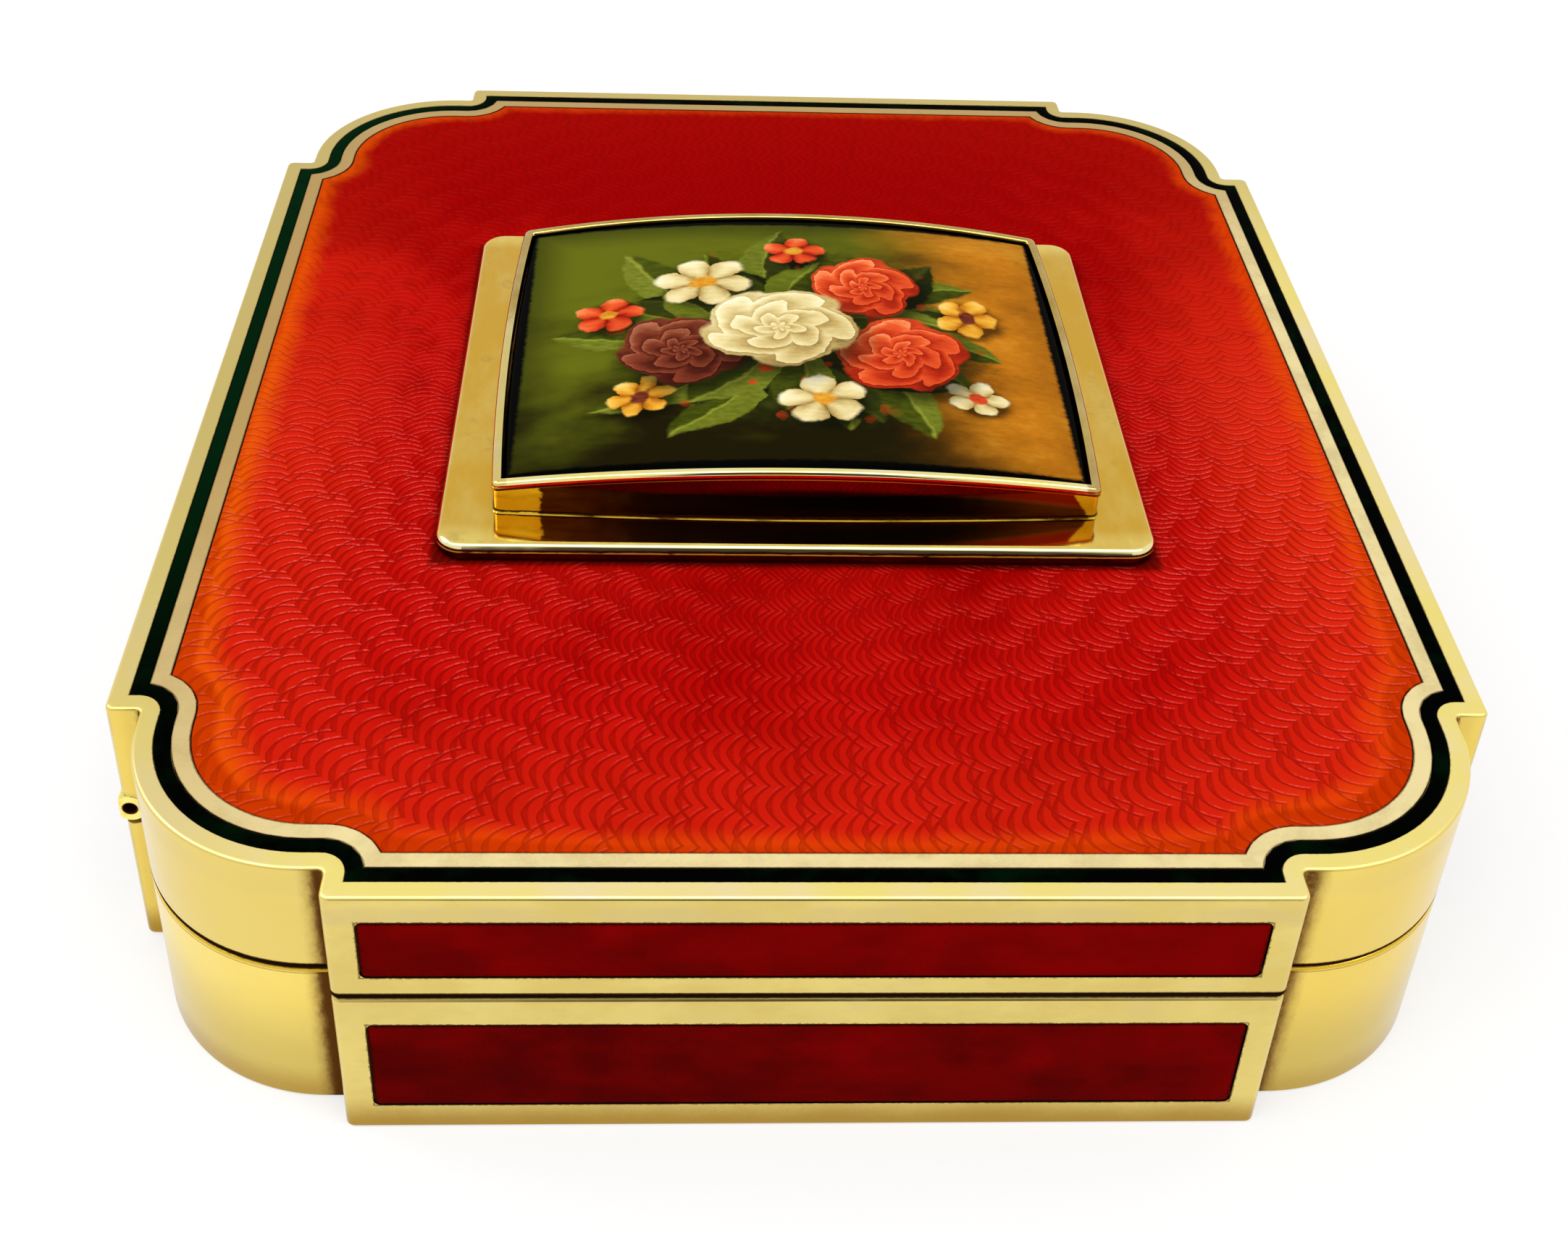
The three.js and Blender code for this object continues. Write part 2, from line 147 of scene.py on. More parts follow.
PLAQUE_CROWN = 0.35 * MM
PLAQUE_FLAT = 1 * MM
LEDGE_TOP = PLAQUE_UNDER - PLAQUE_GAP
STUDS = 4
STUD_HOLE = 0.95 * MM

# Fineness of the curves
ARC_STEPS = 40
CORNER_STEPS = 4
FILLET_STEPS = 8
HALF_SIDE_STEPS = 30
MOUNT_STEPS = 12
KNUCKLE_STEPS = 48
GROOVE_STEPS = 32
HOLE_STEPS = 24
NICK_STEPS = 24
PLAQUE_STEPS = 24
ROLL_STEPS = 6


# Points and outlines

def arc(x, y, radius, start, end, steps):
    """Points of an arc from one angle to another, in radians, with both ends."""
    angles = (start + (end - start) * step / steps for step in range(steps + 1))
    return [(x + radius * math.cos(angle), y + radius * math.sin(angle)) for angle in angles]


def signed(points, sx, sy):
    """Points with x and y times a sign each."""
    return [(sx * x, sy * y) for x, y in points]


def four_corners(corner):
    """A first-quadrant corner repeated in all four, counter-clockwise."""
    right, left = signed(corner, 1, -1), signed(corner, -1, 1)
    return signed(corner, 1, 1) + left[::-1] + signed(corner, -1, -1) + right[::-1]


def box_outline(soft):
    """The plan of the box at an inset, its outward corners rounded by soft."""
    def at(inset):
        fillet = STEP_FILLET + inset
        step_left = min(0.0, CORNER_STEP - STEP_FILLET - inset)
        start = -math.acos(step_left / fillet)
        round_off = max(soft - inset, SMALLEST_ROUND)
        if step_left < 0:
            point = (CORNER_LEG - inset, STEP_FILLET + fillet * math.sin(start))
            corner = [point] * (CORNER_STEPS + 1)
        else:
            centre = (CORNER_LEG - inset - round_off, -inset - round_off)
            corner = arc(*centre, round_off, 0, math.pi / 2, CORNER_STEPS)
        fillet_x = CORNER_LEG - CORNER_STEP + STEP_FILLET
        step = corner + arc(fillet_x, STEP_FILLET, fillet, start, -math.pi, FILLET_STEPS)
        radius = CORNER_LEG - CORNER_STEP - CORNER_LEAD - inset
        big = arc(CORNER_LEAD, CORNER_LEAD, radius, 0, math.pi / 2, ARC_STEPS)
        half = step + big + [(y, x) for x, y in step[::-1]]
        return four_corners([(x + END_FLAT, y + SIDE_FLAT) for x, y in half])
    return at


def block_outline(half_x, half_y, corner, steps=8):
    """A rectangle with round corners, at an inset."""
    def at(inset):
        radius = max(corner - inset, SMALLEST_ROUND)
        shrink = max(corner, inset + SMALLEST_ROUND)
        return four_corners(arc(half_x - shrink, half_y - shrink, radius, 0, math.pi / 2, steps))
    return at


def bezel_outline(inset):
    """The bezel's plan at an inset: sides that swell a little, and softened corners."""
    x = BEZEL_HALF_X - inset
    y = BEZEL_HALF_Y - inset
    soft = max(BEZEL_CORNER - inset, BEZEL_CORNER / 3)
    shares = [step / HALF_SIDE_STEPS for step in range(HALF_SIDE_STEPS)]
    side = [(x + BEZEL_BOW * (1 - share ** 2), share * (y - soft)) for share in shares]
    end = [(share * (x - soft), y + BEZEL_BOW * (1 - share ** 2)) for share in shares[:0:-1]]
    quarter = side + arc(x - soft, y - soft, soft, 0, math.pi / 2, CORNER_STEPS) + end
    top = y + BEZEL_BOW
    back = signed(quarter, 1, 1) + [(0.0, top)] + signed(quarter, -1, 1)[::-1]
    front = signed(quarter, -1, -1)[1:] + [(0.0, -top)] + signed(quarter, 1, -1)[:0:-1]
    return back + front


def arched(height):
    """A height that follows the arch across the plaque."""
    def at(x, _y):
        return height + ARCH_RISE * (1 - (x / BEZEL_HALF_X) ** 2)
    return at


def rounded(points, closed=True, steps=4):
    """A profile of (inset, height, radius) points with each corner rounded by its radius."""
    path = []
    count = len(points)
    for i, (inset, height, radius) in enumerate(points):
        at_end = not closed and i in (0, count - 1)
        if radius == 0 or at_end:
            path.append((inset, height))
            continue
        here = Vector((inset, height))
        before = Vector(points[i - 1][:2]) - here
        after = Vector(points[(i + 1) % count][:2]) - here
        half = before.angle(after) / 2
        reach = min(radius / math.tan(half), before.length / 2, after.length / 2)
        centre = here + (before.normalized() + after.normalized()).normalized() * (reach / math.cos(half))
        first = here + before.normalized() * reach - centre
        last = here + after.normalized() * reach - centre
        for step in range(steps + 1):
            spoke = first.lerp(last, step / steps).normalized() * first.length
            path.append(tuple(centre + spoke))
    return path


# Meshes and pieces
SAME_POINT = 1e-7
SHARP = math.radians(32)
PLAQUE_SHARP = math.radians(50)
FINISHES = {}


def join_rings(mesh, rings):
    """Makes the faces between each ring of points and the next."""
    for ring, following in zip(rings, rings[1:]):
        for i in range(len(ring)):
            j = (i + 1) % len(ring)
            mesh.faces.new((ring[i], ring[j], following[j], following[i]))


def sweep(outline_at, profile, closed=True):
    """A mesh that carries a profile of (inset, height) round an outline. Open ones are capped."""
    mesh = bmesh.new()
    rings = []
    for inset, height in profile:
        rise = height if callable(height) else (lambda x, y, level=height: level)
        rings.append([mesh.verts.new((x, y, rise(x, y))) for x, y in outline_at(inset)])
    if closed:
        join_rings(mesh, rings + rings[:1])
    else:
        join_rings(mesh, rings)
        mesh.faces.new(rings[0][::-1])
        mesh.faces.new(rings[-1])
    bmesh.ops.remove_doubles(mesh, verts=mesh.verts, dist=SAME_POINT)
    return mesh


def moved(mesh, *matrices):
    """A mesh after one or more transforms, the first one first."""
    for matrix in matrices:
        bmesh.ops.transform(mesh, matrix=matrix, verts=mesh.verts)
    return mesh


def rod(radius, length, steps, *matrices):
    """An upright rod about the origin, after some transforms."""
    mesh = bmesh.new()
    bmesh.ops.create_cone(mesh, cap_ends=True, segments=steps, radius1=radius, radius2=radius, depth=length)
    return moved(mesh, *matrices)


def outward(mesh):
    """A mesh with all its faces looking outwards."""
    bmesh.ops.recalc_face_normals(mesh, faces=mesh.faces)
    return mesh


def data_of(name, mesh):
    """Mesh data from a mesh that isn't needed any more."""
    data = bpy.data.meshes.new(name)
    mesh.to_mesh(data)
    mesh.free()
    return data


def add_object(name, data):
    """A new object in the scene."""
    made = bpy.data.objects.new(name, data)
    bpy.context.scene.collection.objects.link(made)
    return made


def cut(made, cutters):
    """Takes the shapes of the cutters out of a piece."""
    joined = bmesh.new()
    for cutter in cutters:
        scrap = data_of("cutter", outward(cutter))
        joined.from_mesh(scrap)
        bpy.data.meshes.remove(scrap)
    tool_data = data_of("cutters", joined)
    tool = add_object("cutters", tool_data)
    boolean = made.modifiers.new("cut", "BOOLEAN")
    boolean.operation = "DIFFERENCE"
    boolean.solver = "EXACT"
    boolean.use_self = True
    boolean.object = tool
    graph = bpy.context.evaluated_depsgraph_get()
    result = bpy.data.meshes.new_from_object(made.evaluated_get(graph), depsgraph=graph)
    made.modifiers.clear()
    made.data = result
    bpy.data.objects.remove(tool)
    bpy.data.meshes.remove(tool_data)


def smooth(made, sharp):
    """Shades a piece smooth, with edges sharper than the angle kept and flat faces kept flat."""
    made.data.shade_smooth()
    made.data.set_sharp_from_angle(angle=sharp)
    weighted = made.modifiers.new("flat faces stay flat", "WEIGHTED_NORMAL")
    weighted.keep_sharp = True
    weighted.weight = 100


def finish_of(make):
    """The material that a function makes, made once."""
    if make not in FINISHES:
        FINISHES[make] = make(bpy.context.scene.table_box_colours)
    return FINISHES[make]


def finish_node(name, make):
    """Gives a CAD node a finish."""
    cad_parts[name].material_slots[0].material = finish_of(make)


def piece(name, mesh, body, make, node, cutters=(), sharp=SHARP):
    """Makes a piece of a mesh less some cutters. It rides on a body and stands for a CAD node."""
    made = add_object(name, data_of(name, outward(mesh)))
    made.data.materials.append(finish_of(make))
    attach(made, body)
    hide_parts(node)
    if cutters:
        cut(made, cutters)
    smooth(made, sharp)


# The four walls: how far each face is from the middle, its half length, and its turn about Z
WALLS = {
    "front": (HALF_Y, END_FLAT, 0.0),
    "opening_side": (HALF_X, SIDE_FLAT, math.pi / 2),
    "back": (HALF_Y, END_FLAT, math.pi),
    "hinge_side": (HALF_X, SIDE_FLAT, -math.pi / 2),
}
PANEL_LEVELS = {
    half: (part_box(f"{half}_front_enamel")[0].z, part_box(f"{half}_front_enamel")[1].z)
    for half in ("base", "lid")
}


def wall_block(wall, low, high, grow, profile):
    """A rounded block in a wall. Its profile runs outwards, with the wall's face at 0."""
    reach, flat, turn = WALLS[wall]
    half_long = flat - PANEL_END_MARGIN + grow
    outline = block_outline(half_long, (high - low) / 2 + grow, PANEL_CORNER)
    stand = Matrix(((1, 0, 0, 0), (0, 0, -1, -reach), (0, 1, 0, (low + high) / 2), (0, 0, 0, 1)))
    return moved(sweep(outline, profile, closed=False), stand, Matrix.Rotation(turn, 4, "Z"))


def recesses(half):
    """The cells in the walls of one half, as cutters."""
    low, high = PANEL_LEVELS[half]
    profile = [(0, -PANEL_DEPTH), (0, CUTTER_SPARE)]
    return [wall_block(wall, low, high, ENAMEL_GAP, profile) for wall in WALLS]


def nail_nick():
    """The hollow for a nail in the lid's opening side, as a cutter."""
    ball = bmesh.new()
    bmesh.ops.create_uvsphere(ball, u_segments=2 * NICK_STEPS, v_segments=NICK_STEPS, radius=1)
    return moved(ball, Matrix.Diagonal((*NICK_REACH, 1)), Matrix.Translation((HALF_X, 0, SPLIT)))


def stud_hole(low, high):
    """The hole in the field over a stud's box, as a cutter."""
    centre = ((low.x + high.x) / 2, (low.y + high.y) / 2, LID_TOP)
    return rod(STUD_HOLE, 3 * TOP_PLATE, HOLE_STEPS, Matrix.Translation(centre))


def knuckles(half):
    """The names of one half's knuckles."""
    return sorted(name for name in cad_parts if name.startswith(f"{half}_knuckle_"))


def hinge_grooves(half):
    """The grooves of one half: a snug one at its own knuckles, a free one at the other half's."""
    cutters = []
    for owner in ("base", "lid"):
        own = owner == half
        radius = KNUCKLE_RADIUS + (SOLDER if own else GROOVE_GAP)
        spare = KNUCKLE_GAP / 2 if own else KNUCKLE_GAP
        for name in knuckles(owner):
            low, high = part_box(name)
            start, end = low.y - spare, high.y + spare
            place = Matrix.Translation((HINGE_X, (start + end) / 2, SPLIT))
            lie_down = Matrix.Rotation(math.pi / 2, 4, "X")
            cutters.append(rod(radius, end - start, GROOVE_STEPS, lie_down, place))
    return cutters


def filed_ring(radius, inset=0.0):
    """Points round a knuckle, filed flat on the hinge side."""
    ring = []
    for step in range(KNUCKLE_STEPS):
        angle = 2 * math.pi * step / KNUCKLE_STEPS
        x = max((radius - inset) * math.cos(angle), KNUCKLE_FACE - HINGE_X + inset)
        ring.append((x, (radius - inset) * math.sin(angle)))
    return ring


def knuckle(low, high):
    """A tube from one end of a knuckle's box to the other, its rims chamfered inside and out."""
    chamfer = KNUCKLE_CHAMFER
    outside = filed_ring(KNUCKLE_RADIUS)
    outer_rim = filed_ring(KNUCKLE_RADIUS, chamfer)
    bore = filed_ring(KNUCKLE_BORE)
    bore_rim = filed_ring(KNUCKLE_BORE + chamfer)
    stations = [
        (outer_rim, low.y),
        (outside, low.y + chamfer),
        (outside, high.y - chamfer),
        (outer_rim, high.y),
        (bore_rim, high.y),
        (bore, high.y - chamfer),
        (bore, low.y + chamfer),
        (bore_rim, low.y),
    ]
    mesh = bmesh.new()
    rings = [[mesh.verts.new((HINGE_X + x, y, SPLIT + z)) for x, z in ring] for ring, y in stations]
    join_rings(mesh, rings + rings[:1])
    return mesh


# A height on the bezel is one of these levels, with metres above it added
ON_MOUNT = 0.0
ON_LEDGE = 0.5
ON_LIP = 1.0


def bezel_height(level):
    """The real height of a level: flat near the mount, arched near the ledge and the lip."""
    if level < (ON_MOUNT + ON_LEDGE) / 2:
        return MOUNT_TOP + level - ON_MOUNT
    if level < (ON_LEDGE + ON_LIP) / 2:
        return arched(LEDGE_TOP + level - ON_LEDGE)
    return arched(BEZEL_LIP + level - ON_LIP)


# Finishes

def from_screen(red, green, blue):
    """A linear colour from the red, green and blue that a screen shows, each 0 to 255."""
    def linear(value):
        share = value / 255
        return share / 12.92 if share <= 0.04045 else ((share + 0.055) / 1.055) ** 2.4
    return (linear(red), linear(green), linear(blue))


def sum_of(operation, swapped=False):
    """A method that works one operation on a value and any others, by a Math node."""
    def method(self, *others):
        values = (*others, self) if swapped else (self, *others)
        return self.finish.add("ShaderNodeMath", {"operation": operation}, dict(enumerate(values)))
    return method


class Value:
    """A number, colour or vector in a finish. Sums on numbers add Math nodes."""

    def __init__(self, finish, socket):
        self.finish = finish
        self.socket = socket

    __add__ = __radd__ = sum_of("ADD")
    __sub__ = sum_of("SUBTRACT")
    __rsub__ = sum_of("SUBTRACT", swapped=True)
    __mul__ = __rmul__ = sum_of("MULTIPLY")
    __truediv__ = sum_of("DIVIDE")
    __rtruediv__ = sum_of("DIVIDE", swapped=True)
    __lt__ = sum_of("LESS_THAN")
    __gt__ = sum_of("GREATER_THAN")
    __abs__ = sum_of("ABSOLUTE")
    times_plus = sum_of("MULTIPLY_ADD")
    larger = sum_of("MAXIMUM")
    smaller = sum_of("MINIMUM")
    power = sum_of("POWER")
    root = sum_of("SQRT")
    sine = sum_of("SINE")
    floor = sum_of("FLOOR")
    fraction = sum_of("FRACT")
    sign = sum_of("SIGN")
    direction = sum_of("ARCTAN2")

    def clamped(self):
        return self.larger(0.0).smaller(1.0)


class Nodes:
    """A node tree and short ways to add nodes to it."""

    def __init__(self, owner):
        owner.use_nodes = True
        self.tree = owner.node_tree
        self.tree.nodes.clear()

    def add(self, kind, settings=None, sockets=None, output=0):
        node = self.tree.nodes.new(kind)
        for name, value in (settings or {}).items():
            if name == "stops":
                self.set_stops(node.color_ramp, value)
            else:
                setattr(node, name, value)
        for name, value in (sockets or {}).items():
            socket = node.inputs[name]
            if isinstance(value, Value):
                self.tree.links.new(value.socket, socket)
            else:
                socket.default_value = (*value[:3], 1.0) if socket.type == "RGBA" else value
        return Value(self, node.outputs[output])

    @staticmethod
    def set_stops(ramp, stops):
        while len(ramp.elements) < len(stops):
            ramp.elements.new(1.0)
        for element, (position, colour) in zip(ramp.elements, stops):
            element.position = position
            element.color = (*colour[:3], 1.0)

    def split(self, vector):
        apart = self.add("ShaderNodeSeparateXYZ", None, {0: vector})
        sockets = apart.socket.node.outputs
        return [Value(self, sockets[axis]) for axis in range(3)]

    def ramp(self, value, low, high):
        """0 at low and 1 at high, eased at both ends."""
        sockets = {"Value": value, "From Min": low, "From Max": high}
        return self.add("ShaderNodeMapRange", {"interpolation_type": "SMOOTHSTEP"}, sockets)

    def band(self, value, middle, half, soft):
        """1 within half of the middle, falling to 0 over soft."""
        return self.ramp(abs(value - middle), half + soft, half)

    def vector(self, operation, *values):
        """Vector sums. A length or dot product comes out as a number."""
        number = operation in ("LENGTH", "DOT_PRODUCT")
        settings = {"operation": operation}
        return self.add("ShaderNodeVectorMath", settings, dict(enumerate(values)), output=int(number))

    def mix(self, factor, a, b):
        """Colour a where the factor is 0 and b where it is 1."""
        return self.add("ShaderNodeMix", {"data_type": "RGBA"}, {0: factor, 6: a, 7: b}, output=2)

    def end(self, kind, shader):
        self.tree.links.new(shader.socket, self.tree.nodes.new(kind).inputs["Surface"])


class Finish(Nodes):
    """A material. Lengths in it are millimetres."""

    def __init__(self, name):
        self.material = bpy.data.materials.new(name)
        self.colour = None
        super().__init__(self.material)
        place = self.add("ShaderNodeTexCoord", output="Object")
        scale = {"operation": "SCALE"}
        self.place = self.add("ShaderNodeVectorMath", scale, {0: place, "Scale": 1 / MM})
        self.x, self.y, self.z = self.split(self.place)

    def noise(self, size, detail=2.0, roughness=0.5, stretch=(1, 1, 1), shift=0.0):
        """Soft noise from 0 to 1 whose blotches are about size across."""
        sockets = {"Vector": self.place, "Scale": tuple(1 / (size * s) for s in stretch),
                   "Location": (shift, shift, shift)}
        place = self.add("ShaderNodeMapping", None, sockets)
        return self.add("ShaderNodeTexNoise", None,
                        {"Vector": place, "Scale": 1.0, "Detail": detail, "Roughness": roughness})

    def bump(self, height, depth):
        """A normal from a height of 0 to 1 that stands for depth, in millimetres."""
        return self.add("ShaderNodeBump", None, {"Strength": 1.0, "Distance": depth * MM, "Height": height})

    def lay(self, cover, colour):
        """Lays a colour over what is there, where cover is 1."""
        self.colour = self.mix(cover, self.colour, colour)

    def shade(self, **sockets):
        """Ends the finish in a Principled shader. Socket names are written with underscores."""
        plain = {name.replace("_", " "): value for name, value in sockets.items()}
        plain["Base Color"] = self.colour
        self.end("ShaderNodeOutputMaterial", self.add("ShaderNodeBsdfPrincipled", None, plain))
        return self.material

    def glaze(self, rough, coat, coat_rough, coat_ior=1.15, **sockets):
        """Ends the finish as enamel: a matt body under a thin clear coat."""
        return self.shade(Metallic=0.0, Roughness=rough, Specular_IOR_Level=0.0, Coat_Weight=coat,
                          Coat_Roughness=coat_rough, Coat_IOR=coat_ior, **sockets)


def step_distance(gilt):
    """How far a point is from the nearest upright angle between a panel and a round corner."""
    places = (
        ((HALF_X - CORNER_STEP) / MM, SIDE_FLAT / MM),
        (END_FLAT / MM, (HALF_Y - CORNER_STEP) / MM),
    )
    nearest = None
    for x, y in places:
        across = abs(gilt.x) - x
        along = abs(gilt.y) - y
        square = across * across + along * along
        nearest = square if nearest is None else nearest.smaller(square)
    return nearest.root()


def panel_inset(finish):
    """How far a point of a wall is inside the nearest enamel's outline, in millimetres."""
    on_ends = abs(finish.y) > (HALF_Y / MM - 1)
    end_reach = (END_FLAT - PANEL_END_MARGIN) / MM - abs(finish.x)
    side_reach = (SIDE_FLAT - PANEL_END_MARGIN) / MM - abs(finish.y)
    reach = side_reach + (end_reach - side_reach) * on_ends
    base, lid = (
        (high - low) / (2 * MM) - abs(finish.z - (low + high) / (2 * MM))
        for low, high in PANEL_LEVELS.values()
    )
    return reach.smaller(base.larger(lid))


def plan_inset(finish):
    """How far a point of the plan is inside the box's outline, in millimetres."""
    x, y = abs(finish.x), abs(finish.y)
    half_x, half_y, end_flat, side_flat = (v / MM for v in (HALF_X, HALF_Y, END_FLAT, SIDE_FLAT))
    lead, step, leg = CORNER_LEAD / MM, CORNER_STEP / MM, CORNER_LEG / MM
    fillet = STEP_FILLET / MM
    past_x, past_y = x > end_flat, y > side_flat
    far = 100.0

    def from_point(across, along):
        across, along = across.larger(0.0), along.larger(0.0)
        return (across * across + along * along).root()

    corner = leg - step - lead - from_point(x - end_flat - lead, y - side_flat - lead)
    side_step = from_point(half_x - step + fillet - x, side_flat + fillet - y) - fillet
    end_step = from_point(half_y - step + fillet - y, end_flat + fillet - x) - fillet
    inset = (half_x - x).smaller(half_y - y)
    inset = inset.smaller(corner + (1 - past_x * past_y) * far)
    return inset.smaller(side_step + past_y * far).smaller(end_step + past_x * far)


def off_hinge(gilt):
    """The square of a point's distance from the hinge's line, in square millimetres."""
    aside = gilt.x - HINGE_X / MM
    above = gilt.z - SPLIT / MM
    return aside * aside + above * above


def shaded_by_hinge_and_back(gilt):
    """1 where the lid's top gets painted shade: by the hinge and at the back."""
    by_hinge = gilt.ramp(gilt.x, -27.0, -43.0) * (gilt.ramp(gilt.y, -52.0, 0.0) * 0.5 + 0.45)
    return by_hinge.larger(gilt.ramp(gilt.y, 15.0, 52.0) * 0.9)


def step_faces(gilt):
    """1 on the narrow upright faces between the panels and the round corners."""
    by_side = (abs(gilt.y) > SIDE_FLAT / MM - 0.05) * (abs(gilt.x) > (HALF_X - CORNER_STEP) / MM + 0.15)
    by_end = (abs(gilt.x) > END_FLAT / MM - 0.05) * (abs(gilt.y) > (HALF_Y - CORNER_STEP) / MM + 0.15)
    return by_side.larger(by_end)


def polished_gilt(tones):
    """Bright gilt of the walls, a little darker on the flats as painted shade, with tarnish and painted
    shade in the steps, painted shade in the hinge's grooves and a painted shadow in the seam.
    """
    gilt = Finish("Polished gilt")
    blotches = gilt.noise(9.0, 3.0, 0.6)
    specks = gilt.noise(0.35, 4.0, 0.7, shift=7.0)
    smears = gilt.noise(3.0, 4.0, 0.7, stretch=(2, 2, 1), shift=3.0)
    flecks = gilt.noise(0.7, 4.0, 0.7, stretch=(1, 1, 2), shift=4.0)
    rough_edge = (specks - 0.5) * 0.14
    # Where a point is
    inset = plan_inset(gilt)
    on_corner = (abs(gilt.x) > END_FLAT / MM) * (abs(gilt.y) > SIDE_FLAT / MM)
    on_right = (gilt.x > 0.0) * on_corner
    step_face = step_faces(gilt)
    top = gilt.ramp(gilt.z, LID_TOP / MM - 0.2, LID_TOP / MM - 0.02)
    below_top = 1 - top
    in_lid = gilt.z > SPLIT / MM
    # Gilt of the round corners and the panels
    # Paler in blotches where the gilding is thin, and a little paler towards the left as painted light
    thin = gilt.ramp(blotches * 0.6 - gilt.x * 0.003, 0.05, 0.55)
    gilt.colour = gilt.mix(thin * 0.4, tones.gilt, tones.gilt_pale)
    gilt.lay(gilt.ramp(gilt.z, 11.5, 3.0) * 0.8, tones.gilt_low)
    polish = gilt.ramp(blotches * 0.6 + smears * 0.6, 0.45, 0.75)
    # The flat panels are a little darker than the round corners: painted shade
    shaded_flats = gilt.mix(polish, tones.gilt_flat, tones.gilt_flat_pale)
    gilt.colour = gilt.mix(on_corner, shaded_flats, gilt.colour)
    gilt.lay(step_face * 0.8, tones.gilt)
    gilt.lay(in_lid * on_corner * (0.6 - on_right * 0.35), tones.gilt_flat)
    # Wear under the rim, and darker towards the foot
    under_rim = gilt.band(gilt.z, LID_TOP / MM - 1.6, 0.4, 0.9)
    worn = gilt.ramp(smears + under_rim * 0.24, 0.5, 0.85) * below_top * (1 - on_corner * 0.75)
    worn = worn * (1 - step_face)
    gilt.lay(worn * 0.6, tones.gilt_worn)
    foot = gilt.ramp(gilt.z + specks * 0.6 + blotches, 4.2, 1.2)
    gilt.lay(foot * (0.85 - on_corner * 0.25 - on_right * 0.2), tones.gilt_foot)
    # The top, where cloths have rubbed it, with painted shade by the hinge and at the back
    rubbed = gilt.mix(gilt.ramp(blotches + smears * 0.5, 0.5, 0.9), tones.gilt_rubbed, tones.gilt_pale)
    gilt.lay(top, gilt.mix(shaded_by_hinge_and_back(gilt), rubbed, tones.gilt_dim))
    # Tarnish and painted shade beside the steps
    step = step_distance(gilt) + (specks - 0.5) * 0.3 + (flecks - 0.5) * 0.6
    step = step + in_lid * (0.35 - on_right * 0.3)
    tan = gilt.ramp(step, 2.2, 0.9) * below_top * (1 - step_face * 0.8)
    gilt.lay(tan * 0.85, tones.tan_tarnish_and_shade)
    brown = gilt.ramp(step + step_face * 0.6, 1.5, 0.8) * below_top
    brown = brown * (0.95 - on_right * (0.1 + gilt.ramp(specks, 0.6, 0.4) * 0.35))
    gilt.lay(brown, tones.tarnish_and_shade)
    # Dark lines round the enamels
    cell_edge = gilt.band(panel_inset(gilt) + (specks - 0.5) * 0.35, -0.06, 0.04, 0.06) * below_top
    gilt.lay(cell_edge * 0.75, tones.tarnish_and_shade)
    line_edge = gilt.band(inset + rough_edge, GILT_BORDER / MM, 0.02, 0.07) * top
    gilt.lay(line_edge * 0.7, tones.tarnish_and_shade)
    # The seam between the halves: a painted shadow in the gap, a painted highlight along its lower edge and
    # a thin line of painted shade below that
    outside = gilt.ramp(inset, 0.7, 0.3)
    in_seam = gilt.z + rough_edge * 0.6 - SPLIT / MM
    seam_half = 0.26 - on_right * 0.12
    seam = gilt.band(in_seam, 0.3, seam_half, 0.06) * outside
    seam_edge = gilt.band(in_seam, 0.3, seam_half + 0.07, 0.08) * outside
    lit_edge = gilt.band(in_seam, -0.12, 0.05, 0.06) * outside * on_corner
    below_edge = gilt.band(in_seam, -0.3, 0.015, 0.06) * outside * on_corner
    gilt.lay(lit_edge * 0.8, tones.gilt_painted_glint)
    gilt.lay(below_edge * 0.5, tones.tarnish_and_shade)
    gilt.lay(seam_edge * 0.9, tones.tarnish_and_shade)
    gilt.lay(seam, tones.dark_tarnish_and_shadow)
    # Painted shade in the grooves of the hinge
    hinge = gilt.ramp(off_hinge(gilt), 2.3, 1.9) * (gilt.x > (0.1 * MM - HALF_X) / MM)
    hinge = hinge * (1 - in_lid * 0.9)
    gilt.lay(hinge * 0.9, tones.gilt_shadow)
    # Tarnish and painted shade make the metal duller and rougher
    tarnish_and_shade_mask = brown.larger(seam_edge).larger(hinge)
    rough = 0.17 + blotches * 0.06 + worn * 0.1 + top * 0.2 + tarnish_and_shade_mask * 0.4
    height = gilt.noise(8.0, 1.0, 0.5, shift=11.0) + specks * 0.01
    return gilt.shade(Metallic=1 - tarnish_and_shade_mask * 0.9, Roughness=rough, Specular_IOR_Level=0.0,
                      Normal=gilt.bump(height, 0.07))


def knuckle_gilt(tones):
    """Gilt of the hinge's knuckles, with painted shade in the bore."""
    gilt = Finish("Knuckle gilt")
    bore = gilt.ramp(off_hinge(gilt), 0.4, 0.25)
    blotches = gilt.noise(1.2, 3.0, 0.6)
    gilt.colour = gilt.mix(gilt.ramp(blotches, 0.45, 0.75), tones.gilt_pale, tones.gilt)
    # Painted shade in the bore
    gilt.lay(bore, tones.gilt_shadow)
    return gilt.shade(Metallic=1.0, Roughness=0.2 + blotches * 0.1 + bore * 0.4)


def old_wire(tones):
    """The hinge pin's dark old wire."""
    wire = Finish("Old wire")
    grain = wire.noise(0.15, 3.0, 0.7, stretch=(1, 8, 1))
    wire.colour = wire.mix(grain, tones.dark_tarnish_and_shadow, tones.gilt_shadow)
    return wire.shade(Metallic=1.0, Roughness=0.45 + grain * 0.2)


